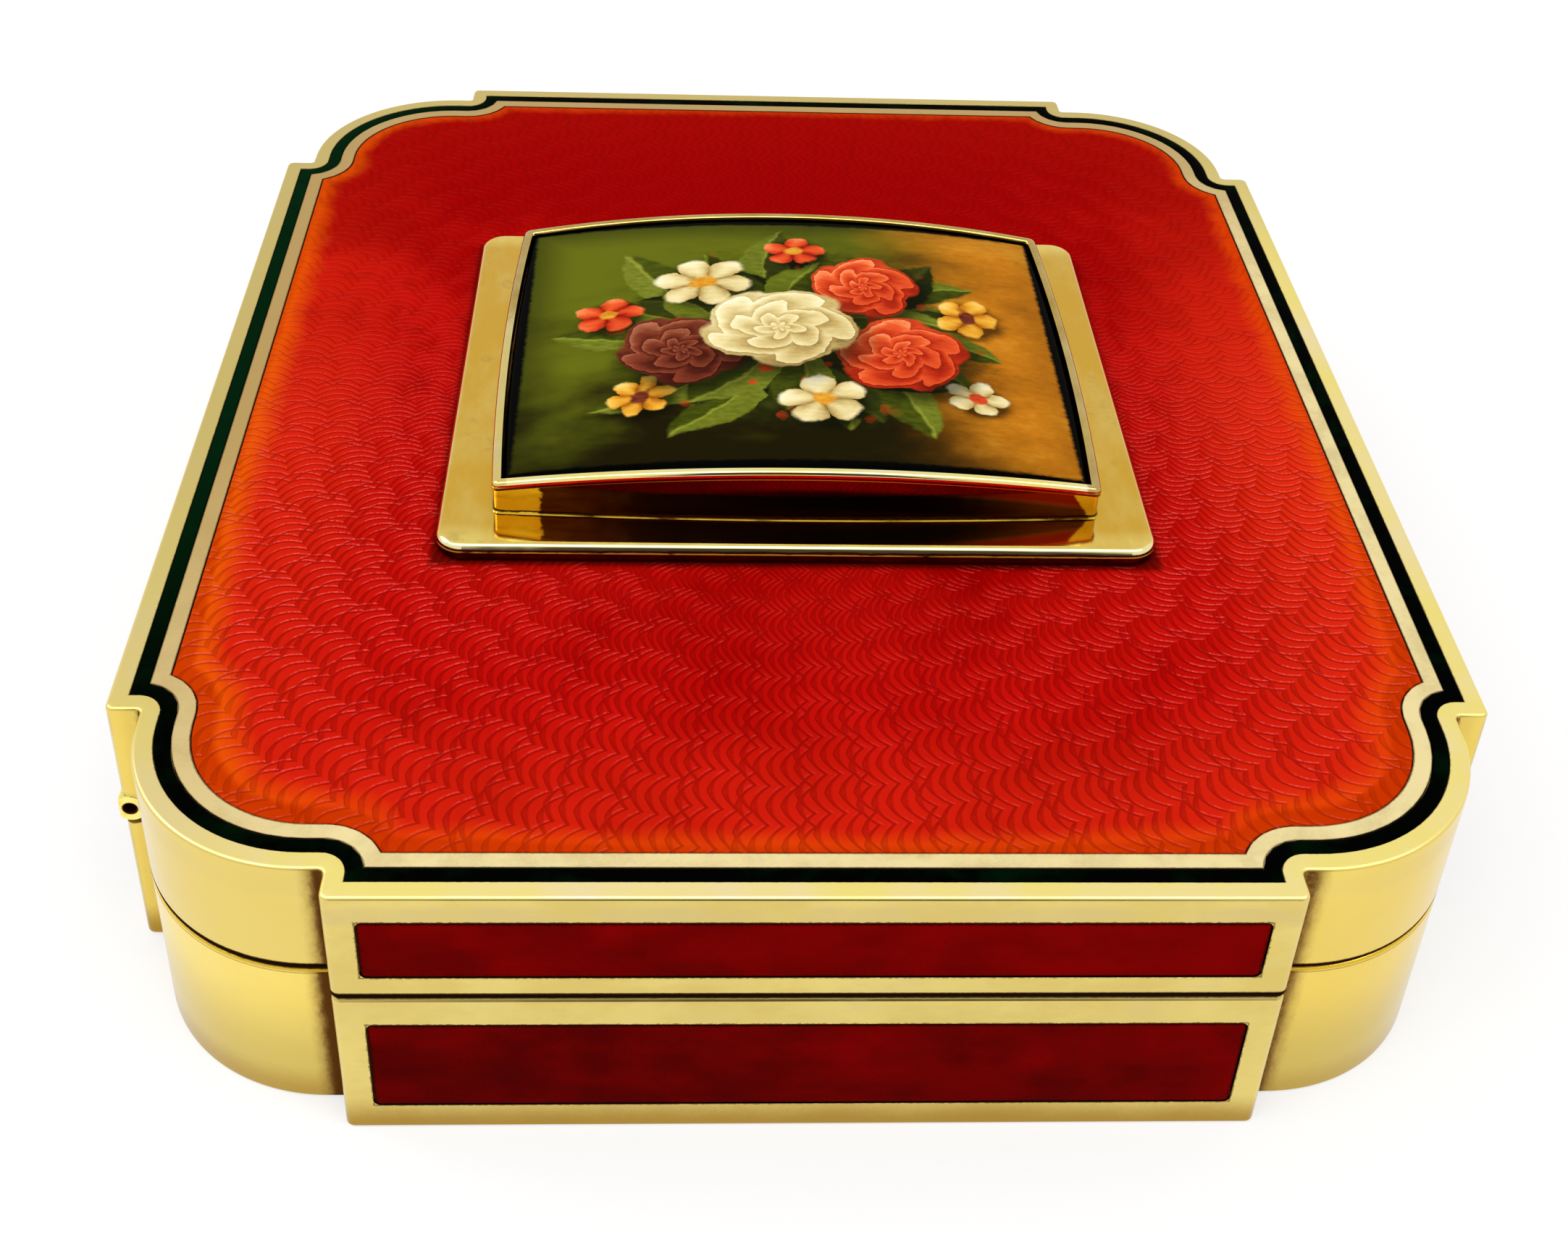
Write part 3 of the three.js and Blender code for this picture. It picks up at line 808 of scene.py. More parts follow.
def mount_gilt(tones):
    """Rubbed gilt of the mount's flat, with a painted highlight on the roll round it and painted shade on
    the side below.
    """
    gilt = Finish("Mount gilt")
    waves = gilt.noise(7.0, 2.0, 0.5)
    smears = gilt.noise(5.0, 4.0, 0.6, stretch=(0.6, 1.6, 1), shift=5.0)
    streaks = gilt.noise(0.5, 3.0, 0.7, stretch=(6, 6, 1), shift=8.0)
    below = MOUNT_TOP / MM - gilt.z
    # The flat round the bezel
    flat = gilt.ramp(below, 0.08, 0.02)
    front = gilt.ramp(abs(gilt.y), BEZEL_HALF_Y / MM + 1.0, MOUNT_HIGH.y / MM - 0.8)
    gilt.colour = gilt.mix(gilt.ramp(smears, 0.4, 0.75), tones.gilt_mount, tones.gilt_mount_pale)
    gilt.lay(front * smears, tones.gilt_pale)
    gilt.lay(gilt.ramp(streaks + smears, 1.1, 1.4) * flat * 0.4, tones.gilt_deep)
    # The roll with a painted highlight, and the side below it with painted shade and a thin painted bright
    # thread
    at_front = gilt.ramp(abs(gilt.y), MOUNT_HIGH.y / MM - 1.5, MOUNT_HIGH.y / MM - 0.9)
    roll = gilt.ramp(below, 0.02, 0.1)
    gilt.lay(roll * (0.2 + at_front * 0.8), tones.gilt_cream)
    side = gilt.ramp(below + (streaks - 0.5) * 0.2, 0.3, 0.42)
    below_roll = gilt.mix(gilt.ramp(streaks, 0.35, 0.65), tones.dark_tarnish_and_shadow, tones.gilt_shadow)
    gilt.lay(side * 0.97, below_roll)
    thread = gilt.band(below + (streaks - 0.5) * 0.1, 0.62, 0.04, 0.05) * gilt.ramp(streaks, 0.3, 0.5)
    thread = thread * at_front
    gilt.lay(thread * 0.7, tones.gilt_mount)
    # Best polished along the bezel's wall
    along_wall = gilt.band(abs(gilt.y), BEZEL_HALF_Y / MM + 1.8, 1.6, 0.6)
    along_wall = along_wall * gilt.ramp(abs(gilt.x), 23.4, 22.4)
    rough = 0.06 + (0.1 + waves * 0.05 + smears * 0.08) * flat * (1 - along_wall * 0.75) + side * 0.12
    return gilt.shade(Metallic=1 - thread * 0.8, Roughness=rough + thread * 0.3,
                      Specular_IOR_Level=0.0, Normal=gilt.bump(waves, 0.05))


def bezel_gilt(tones):
    """Mirror-polished gilt of the bezel, its wall painted with shade and reflections."""
    gilt = Finish("Bezel gilt")
    waves = gilt.noise(6.0, 2.0, 0.5)
    streaks = gilt.noise(0.9, 4.0, 0.65, stretch=(5, 5, 1), shift=6.0)
    ragged = gilt.noise(0.8, 4.0, 0.7, stretch=(1, 1, 0.6), shift=9.0)
    # Where a point is: on the lip, or low or at an end of the wall
    under_lip = BEZEL_LIP / MM - (gilt.z - arch_rise(gilt))
    lip = gilt.ramp(under_lip + (ragged - 0.5) * 0.1, 0.56, 0.42)
    above = gilt.z - MOUNT_TOP / MM
    left_end = gilt.ramp(gilt.x + (ragged - 0.5) * 1.2, -19.1, -19.3)
    right_reach = BEZEL_HALF_X / MM - gilt.x + (ragged - 0.5) * 0.5 - above * 0.6
    right_end = gilt.ramp(right_reach, 0.9, 0.6) * 0.8
    outer_wall = gilt.ramp(under_lip, 0.7, 0.9) * (abs(gilt.y) > BEZEL_HALF_Y / MM - 0.4)
    ends = left_end.larger(right_end) * outer_wall
    # The lip, darker towards the back and the sides
    gilt.colour = gilt.mix(gilt.ramp(waves, 0.3, 0.7), tones.gilt_cream, tones.gilt_pale)
    darker_lip = gilt.ramp(gilt.y + (gilt.x > 0.0) * 5 + ragged * 8, 1.0, 12.0)
    sides = gilt.ramp(abs(gilt.x), BEZEL_HALF_X / MM - 1.3, BEZEL_HALF_X / MM - 1.0)
    darker_lip = darker_lip.larger(sides * (0.5 + (gilt.x > 0.0) * 0.4))
    gilt.lay(darker_lip * (0.35 + streaks * 0.8), tones.gilt_foot)
    # The wall: painted shade and painted reflections, brown, redder and blacker to the right, with painted
    # glowing reflections at its ends
    dull = gilt.mix(gilt.ramp(streaks, 0.35, 0.75), tones.gilt_shadow, tones.tarnish_and_shade)
    # Lighter, then red, where the wall would mirror the field: painted reflection
    mirrors_field = gilt.ramp(under_lip, 2.2, 1.5) * gilt.ramp(gilt.x, -16.0, 2.0)
    dull = gilt.mix(mirrors_field * 0.8, dull, tones.gilt_deep)
    dull = gilt.mix(mirrors_field * gilt.ramp(gilt.x, 0.0, 14.0) * 0.9, dull, tones.wall_red_and_reflection)
    # A painted black reflection across the middle
    black = gilt.band(under_lip, 2.7, 0.6, 0.6)
    black = black * gilt.ramp(gilt.x, -10.0, 2.0) * gilt.ramp(gilt.x, 21.0, 12.0)
    dull = gilt.mix(black * 0.8, dull, tones.dark_tarnish_and_shadow)
    # Painted glowing reflections at both ends
    glow = gilt.mix(gilt.ramp(streaks, 0.45, 0.75) * 0.6, tones.gilt_painted_glint, tones.gilt_foot)
    dull = gilt.mix(ends, dull, glow)
    turned = gilt.ramp(abs(gilt.x), BEZEL_HALF_X / MM - 0.45, BEZEL_HALF_X / MM - 0.2)
    dull = gilt.mix(turned * (1 - ends) * 0.8, dull, tones.tan_tarnish_and_shade)
    # A thin painted bright line at the wall's foot
    dull = gilt.mix(gilt.ramp(above, 0.1, 0.05) * gilt.ramp(streaks, 0.3, 0.6), dull, tones.gilt_mount)
    gilt.colour = gilt.mix(lip, dull, gilt.colour)
    # Dirt where the wall meets the mount
    foot = gilt.band(above + (ragged - 0.5) * 0.3, 0.2, 0.05, 0.08)
    gilt.lay(foot * 0.96, tones.dark_tarnish_and_shadow)
    return gilt.shade(Metallic=1 - foot * 0.9, Roughness=0.05 + waves * 0.03 + foot * 0.4,
                      Specular_IOR_Level=0.0, Normal=gilt.bump(waves, 0.04))


def arch_rise(finish):
    """How much the arch across the plaque has risen, in millimetres."""
    share = finish.x * (MM / BEZEL_HALF_X)
    return (1 - share * share) * (ARCH_RISE / MM)


def satin_gilt(tones):
    """Rubbed gilt of the flat lines between the enamels, and of the inside."""
    gilt = Finish("Satin gilt")
    grain = gilt.noise(0.3, 4.0, 0.7)
    clouds = gilt.noise(3.0, 3.0, 0.6, shift=2.0)
    inset = plan_inset(gilt)
    edges = gilt.band(inset + (grain - 0.5) * 0.12, LINE_END / MM, 0.02, 0.08)
    edges = edges.larger(gilt.band(inset + (grain - 0.5) * 0.12, FIELD_INSET / MM, 0.02, 0.08))
    worn = gilt.ramp(grain * 0.4 + clouds, 0.55, 0.95) * 0.45
    gilt.colour = gilt.mix(worn, tones.gilt_rubbed, tones.gilt_worn)
    # Painted shade by the hinge and at the back
    gilt.lay(shaded_by_hinge_and_back(gilt), tones.gilt_line)
    gilt.lay(edges * 0.75, tones.tarnish_and_shade)
    rough = 0.36 + grain * 0.14
    return gilt.shade(Metallic=1.0, Roughness=rough, Normal=gilt.bump(grain, 0.002))


def wall_enamel(tones):
    """Deep red enamel of the wall panels, faintly mottled, with painted shade lower down and to the left,
    darker where it meets the gilt.
    """
    enamel = Finish("Deep red enamel")
    clouds = enamel.noise(6.0, 4.0, 0.55, stretch=(1, 1, 0.6))
    specks = enamel.noise(0.25, 3.0, 0.7, shift=4.0)
    # Clouds, with painted shade lower down and towards the left
    cells = enamel.ramp(clouds + (specks - 0.5) * 0.3 + enamel.z * 0.014 + enamel.x * 0.003, 0.25, 1.1)
    enamel.colour = enamel.mix(cells, tones.wall_red_dark, tones.wall_red_and_reflection)
    edge = panel_inset(enamel) + (specks - 0.5) * 0.35
    enamel.lay(enamel.ramp(edge, 0.28, 0.04) * 0.9, tones.enamel_edge_and_shadow)
    return enamel.glaze(0.4, 0.1, 0.05)


def line_enamel(tones):
    """Near-black enamel with a breath of green."""
    enamel = Finish("Dark line enamel")
    clouds = enamel.noise(4.0, 3.0, 0.6)
    by_hinge = enamel.ramp(enamel.x, -22.0, -44.0) * enamel.ramp(enamel.y, -44.0, -5.0)
    green = enamel.ramp(clouds, 0.45, 0.8) * 0.3 + by_hinge * 0.7
    enamel.colour = enamel.mix(green, tones.dark_line, tones.dark_line_green)
    return enamel.glaze(0.4, 0.1, 0.08)


# Engine turning under the field enamel: rays of scallops round the middle of the lid
TURNING_LINES = 304
LINES_PER_GROUP = 4
SCALLOP_LENGTH = 3.5
SCALLOP_DEPTH = 0.98
GROUP_SHIFT = 0.33
THIN_CUT = 0.015
BROAD_CUT = 0.19
CUT_SOFTNESS = 0.09
FLANK_PLACE = 0.17


def ray_strokes(enamel, radius, ray, spacing, group):
    """One group of cuts: the dark of each cut, and its bright flank.

    A cut across the light is thin, with a painted highlight on the flank behind it. One along it is broad
    and dark with painted shade. The light comes from a direction fixed in the lid.
    """
    along = (radius / SCALLOP_LENGTH + (group / 2).fraction() * 2 * GROUP_SHIFT).fraction()
    line = ray + along * (1 - along) * 4 * SCALLOP_DEPTH / spacing
    slope = (along * 2 - 1) * (4 * SCALLOP_DEPTH / SCALLOP_LENGTH)
    steepness = (slope * slope + 1).root()
    across_light = (enamel.x - slope * enamel.y) / (radius * steepness)
    lit = abs(across_light)
    first = group * LINES_PER_GROUP
    inside = (line > first - 0.5) * (line < first + LINES_PER_GROUP + 0.5)
    offset = ((line + 0.5).fraction() - 0.5) * spacing / steepness
    broad = (1 - lit) * (1 - lit)
    half = broad * BROAD_CUT + THIN_CUT
    dark = (1 - (abs(offset) - half) / CUT_SOFTNESS).clamped() * (0.9 - broad * 0.4)
    groove = dark.larger(enamel.band(offset, half * -1, 0.014, 0.05) * 0.85) * inside
    behind = offset * across_light.sign()
    flank = enamel.band(behind, FLANK_PLACE, 0.04, 0.08) * enamel.ramp(lit, 0.5, 0.95) * inside
    return groove, flank


def engine_turning(enamel, radius):
    """The dark of every cut, and the painted highlight on its flank."""
    ray = (enamel.y.direction(enamel.x) + math.pi) * (TURNING_LINES / (2 * math.pi))
    spacing = radius * (2 * math.pi / TURNING_LINES)
    group = (ray / LINES_PER_GROUP).floor()
    groove, flank = ray_strokes(enamel, radius, ray, spacing, group)
    next_groove, next_flank = ray_strokes(enamel, radius, ray, spacing, group + 1)
    groove = groove.larger(next_groove)
    return groove, flank.larger(next_flank) * (1 - groove)


def field_enamel(tones):
    """Clear red enamel over the turning, lighter and orange towards its border."""
    enamel = Finish("Field enamel over engine turning")
    x, y = enamel.x, enamel.y
    radius = (x * x + y * y).root()
    groove, flank = engine_turning(enamel, radius)
    edge = plan_inset(enamel) - FIELD_INSET / MM
    sideways = x * x / (radius * radius)
    clouds = enamel.noise(14.0, 3.0, 0.6)
    small_clouds = enamel.noise(3.0, 3.0, 0.6, shift=8.0)
    grain = enamel.noise(0.22, 3.0, 0.7, shift=9.0)
    # Red of the middle, with painted light: lighter towards the sides, darker towards the back
    deep = enamel.ramp(clouds + sideways * 0.45 - y * 0.006, 0.44, 0.94)
    enamel.colour = enamel.mix(deep, tones.field_red_dark, tones.field_red)
    enamel.lay(grain * 0.3, tones.field_red_dark)
    smoky = enamel.ramp(small_clouds, 0.45, 0.75) * enamel.ramp(y, -30.0, 10.0)
    enamel.lay(smoky * 0.65, tones.field_red_dark)
    # Warmer, then orange and rust, towards the border, the warmth stronger at the sides and the right and
    # weaker towards the back as painted light
    on_right = enamel.ramp(x, 5.0, 30.0)
    warm = enamel.ramp(edge, 15.0, 1.0) * (0.3 + sideways * (0.3 + on_right * 0.35))
    warm = warm * (1 - enamel.ramp(y, -20.0, 40.0) * 0.85)
    enamel.lay(warm, tones.field_warm)
    near_corner = enamel.ramp((x * x * 1.3 + y * y).root(), 48.0, 62.0) * enamel.ramp(y, 30.0, 0.0)
    by_hinge = enamel.ramp(x, -28.0, -42.0)
    narrow = 0.43 - sideways * 0.13 - near_corner * 0.16 - by_hinge * 0.03
    rim = enamel.ramp(edge * narrow + small_clouds * 0.6 + y * 0.003, 1.15, 0.2)
    rim = rim * enamel.ramp(sideways, -0.7, 0.4)
    orange = enamel.mix(by_hinge * small_clouds * 0.5, tones.field_orange, tones.field_amber)
    enamel.lay(rim, orange)
    rust = enamel.ramp(edge + small_clouds * 0.6 - near_corner * 1.2, 1.1, 0.3)
    enamel.lay(rust * (0.5 + near_corner * 0.3), tones.field_rust)
    enamel.lay(enamel.ramp(edge + grain * 0.2, 0.25, 0.1) * 0.8, tones.enamel_edge_and_shadow)
    # The turning shows through, less towards the back and in the orange: its cuts with painted shade, and
    # painted highlights on their flanks
    towards_back = enamel.ramp(y, -24.0, 26.0)
    far_side = 1 - enamel.ramp(y, -34.0, 16.0) * 0.9
    depth = groove * (0.32 + grain * 0.5) * (1 - rim * 0.4) * (1 - towards_back * 0.5)
    enamel.lay(depth, tones.field_groove)
    glint = flank * enamel.ramp(grain, 0.38, 0.62) * (0.25 + sideways * 0.75) * (1 - rim * 0.4) * far_side
    enamel.lay(glint, tones.field_flank)
    # Painted shadow round the foot of the mount
    from_mount = (abs(x) - MOUNT_HIGH.x / MM).larger(abs(y) - MOUNT_HIGH.y / MM)
    enamel.lay(enamel.ramp(from_mount, 0.7, 0.0) * 0.7, tones.enamel_edge_and_shadow)
    height = (flank * 0.5 - groove) * (1 - towards_back * 0.7) + grain * 0.05
    return enamel.glaze(0.45, 0.06, 0.05, Normal=enamel.bump(height, 0.04))


class Painting(Finish):
    """A painted ground on which flowers are laid one over another. Places on it are millimetres."""

    def __init__(self, name):
        super().__init__(name)
        flat = self.vector("MULTIPLY", self.place, (1, 1, 0))
        ripples = {"Vector": flat, "Scale": 0.5, "Detail": 3.0}
        wander = self.add("ShaderNodeTexNoise", None, ripples, output="Color")
        wander = self.vector("MULTIPLY_ADD", wander, (1.3, 1.3, 0), (-0.65, -0.65, 0))
        self.canvas = self.vector("ADD", flat, wander)
        self.strokes = self.noise(0.45, 4.0, 0.65, stretch=(2.2, 1, 1)) * 0.4 - 0.2

    def local(self, x, y, turn, size, squash=1.0):
        """The place about a flower, turned by degrees: its centre is 0 and its rim is 1."""
        sockets = {"Vector": self.canvas, "Location": (x, y, 0), "Rotation": (0, 0, math.radians(turn)),
                   "Scale": (size, size * squash, 1)}
        return self.add("ShaderNodeMapping", {"vector_type": "TEXTURE"}, sockets)

    def around(self, place):
        """The share of a turn about a flower's centre."""
        return self.add("ShaderNodeTexGradient", {"gradient_type": "RADIAL"}, {0: place}, output=1)

    def light(self, place, turn):
        """Brighter towards the upper left of a turned flower."""
        angle = math.radians(125 - turn)
        return self.vector("DOT_PRODUCT", place, (math.cos(angle), math.sin(angle), 0))

    def tones(self, value, *colours):
        """A blend through some colours as the value goes from 0 to 1."""
        last = len(colours) - 1
        stops = [(i / last, colour) for i, colour in enumerate(colours)]
        return self.add("ShaderNodeValToRGB", {"stops": stops}, {0: value})

    def shadow(self, x, y, size):
        """A soft shadow below and beside a flower."""
        far = self.vector("LENGTH", self.local(x + 0.12 * size, y - 0.2 * size, 0, size * 1.25))
        self.lay(self.ramp(far, 1.0, 0.6) * 0.8, SHADE[0])

    def rose(self, x, y, turn, size, petals, colours, squash=0.9):
        """An open rose: rings of petals, each pale at its lip and dark beneath the next."""
        self.shadow(x, y, size)
        place = self.local(x, y, turn, size, squash)
        far = self.vector("LENGTH", place)
        wave = abs(self.around(place).times_plus(petals * math.pi, far * 4.4).sine())
        cover = self.ramp(wave.times_plus(-0.14, far), 0.9, 0.84)
        lip = wave.times_plus(-0.75, far.power(0.75) * 3.9).fraction()
        tone = lip.times_plus(0.5, self.light(place, turn).times_plus(0.2, self.strokes)) + 0.26
        self.lay(cover, self.tones(tone, *colours))

    def blossom(self, x, y, turn, size, petals, colours, heart, squash=0.85):
        """A flat blossom of single petals about a heart."""
        self.shadow(x, y, size * 0.85)
        place = self.local(x, y, turn, size, squash)
        far = self.vector("LENGTH", place)
        lobes = abs((self.around(place) * (petals * math.pi)).sine())
        cover = self.ramp(far / lobes.power(0.5).times_plus(0.5, 0.5), 1.03, 0.9)
        tone = lobes.times_plus(0.45, far.times_plus(0.35, self.strokes)) + self.light(place, turn) * 0.12
        self.lay(cover, self.tones(tone, *colours))
        self.lay(self.ramp(far + self.strokes * 0.3, 0.32, 0.2), self.tones(self.strokes * 2 + 0.5, *heart))

    def leaf_ring(self, x, y, turn, size, count, twist, colours, squash=0.85):
        """A ring of pointed leaves of many lengths, which bend a little one way."""
        place = self.local(x, y, turn, size, squash)
        far = self.vector("LENGTH", place)
        ray = self.around(place).times_plus(count, far * twist)
        chance = self.add("ShaderNodeTexWhiteNoise", {"noise_dimensions": "1D"}, {"W": ray.floor()})
        reach = far / chance.times_plus(0.45, 0.58)
        side = ray.fraction() - 0.5
        half = (1 - reach) * reach.times_plus(2.0, 0.25)
        cover = self.ramp(abs(side) - half, 0.03, -0.05)
        rib = self.band(side, 0.0, 0.01, 0.04)
        half_tone = self.ramp(side, -0.06, 0.06)
        tone = half_tone.times_plus(0.3, chance.times_plus(0.25, self.strokes)) + rib * 0.25
        self.lay(cover, self.tones(tone + 0.2, *colours))


def shades(*colours):
    """A painter's shades of one colour, from dark to light, as a screen shows them."""
    return [from_screen(*colour) for colour in colours]


CREAM = shades((104, 74, 30), (186, 160, 96), (222, 206, 150), (246, 238, 208))
CORAL = shades((88, 8, 2), (172, 38, 12), (216, 80, 36), (240, 156, 98))
OCHRE = shades((100, 50, 6), (184, 112, 18), (222, 164, 52), (242, 212, 124))
PLUM = shades((26, 6, 4), (76, 24, 14), (122, 54, 32), (170, 106, 76))
GREEN = shades((14, 18, 0), (46, 54, 4), (92, 100, 20), (144, 150, 56))
SHADE = shades((6, 7, 0), (20, 24, 0), (40, 46, 6), (64, 68, 16))


def painted_enamel(tones):
    """A spray of garden flowers on a ground that goes from olive to ochre."""
    paint = Painting("Painted plaque enamel")
    x, y, _ = paint.split(paint.canvas)
    # The ground
    clouds = paint.noise(9.0, 4.0, 0.55, stretch=(1.4, 0.8, 1))
    lighter = paint.ramp(clouds + y * 0.016 - x * 0.008, 0.3, 0.8)
    paint.colour = paint.mix(lighter, tones.paint_umber, tones.paint_olive)
    glow = paint.ramp(x + clouds * 14 + y * 0.05, 12.0, 26.0)
    paint.lay(glow, paint.tones(clouds + paint.strokes, *OCHRE[:3]))
    low = paint.ramp(y + clouds * 8 - x * 0.15, -7.0, -17.0)
    paint.lay(low * (1 - glow * 0.9) * 0.85, tones.paint_umber)
    # Leaves and berries behind the flowers
    place = paint.local(0, 0, 0, 17, 0.84)
    mass = paint.ramp(paint.vector("LENGTH", place) + clouds * 0.5 + paint.strokes, 1.25, 0.85)
    cells = {"Vector": paint.canvas, "Scale": 0.55}
    near = paint.add("ShaderNodeTexVoronoi", None, cells)
    paint.lay(mass, paint.tones(1 - near * 0.8 + paint.strokes, *SHADE))
    paint.leaf_ring(0, 0, 8, 20.5, 17, 1.1, GREEN)
    paint.leaf_ring(0.5, 0, 20, 17, 13, -1.0, SHADE)
    paint.leaf_ring(-0.5, 0, 0, 14.5, 11, 0.8, GREEN)
    berries = paint.add("ShaderNodeTexVoronoi", {"feature": "F1"}, {"Vector": paint.canvas, "Scale": 0.42})
    sprinkled = paint.ramp(berries, 0.26, 0.18) * mass
    paint.lay(sprinkled * 0.9, paint.tones(clouds * 0.7 + paint.strokes + 0.1, *CORAL))
    # Flowers, the ones on top last
    paint.blossom(14.8, 3.4, 65, 3.2, 5, OCHRE, PLUM)
    paint.blossom(-14.8, 3.0, 10, 3.0, 5, CORAL, OCHRE)
    paint.blossom(0.8, 12.6, 12, 2.8, 5, CORAL, OCHRE)
    paint.blossom(14.4, -8.4, 0, 2.7, 5, CREAM, CORAL)
    paint.blossom(-12.0, -9.0, 45, 3.0, 6, OCHRE, PLUM)
    paint.rose(-8.8, -2.6, 150, 5.4, 5, PLUM)
    paint.rose(6.4, 7.0, 250, 5.0, 5, CORAL)
    paint.rose(8.8, -3.0, 40, 5.7, 5, CORAL)
    paint.blossom(-7.0, 7.6, 20, 4.4, 6, CREAM, OCHRE)
    paint.blossom(2.2, -9.8, 30, 3.8, 5, CREAM, OCHRE)
    paint.rose(-0.8, 0.6, 10, 6.5, 5, CREAM)
    # Darker towards the bezel
    half_x = (BEZEL_HALF_X - BEZEL_WALL) / MM
    half_y = (BEZEL_HALF_Y - BEZEL_WALL) / MM
    edge = (half_x - abs(paint.x)).smaller(half_y - abs(paint.y))
    paint.lay(paint.ramp(edge, 4.5, 0.0) * (1 - glow * 0.6) * 0.6, tones.paint_umber)
    # A thin dark rim at the very edge: painted shadow of the gap under the bezel's lip
    paint.lay(paint.ramp(edge + paint.strokes * 1.2, 0.75, 0.35), tones.dark_line)
    return paint.glaze(0.35, 0.15, 0.03, coat_ior=1.2)


def pale_floor():
    """White paper that shows as lit to the camera, to metal and to glass, and keeps a soft shadow."""
    paper = Finish("Pale floor")
    fibres = paper.noise(2.0, 3.0, 0.6)
    shade = paper.mix(fibres, (0.94, 0.94, 0.94), (0.97, 0.97, 0.97))
    matt = paper.add("ShaderNodeBsdfPrincipled", None,
                     {"Base Color": shade, "Roughness": 0.9, "Specular IOR Level": 0.0})
    lit = paper.add("ShaderNodeEmission", None, {"Color": (1, 1, 1, 1), "Strength": 1.0})
    seen = None
    for ray in ("Is Camera Ray", "Is Glossy Ray", "Is Transmission Ray"):
        kind = paper.add("ShaderNodeLightPath", output=ray)
        seen = kind if seen is None else seen.larger(kind)
    both = paper.add("ShaderNodeMixShader", None, {0: seen * 0.6, 1: matt, 2: lit})
    paper.end("ShaderNodeOutputMaterial", both)
    return paper.material


# What a user can change

def tone(name, description, red, green, blue):
    return bpy.props.FloatVectorProperty(name=name, description=description, subtype="COLOR", size=3,
                                         min=0.0, max=1.0, default=from_screen(red, green, blue))


def length(name, description, default):
    return bpy.props.FloatProperty(name=name, description=description, default=default, min=0.0,
                                   subtype="DISTANCE", unit="LENGTH", precision=5)


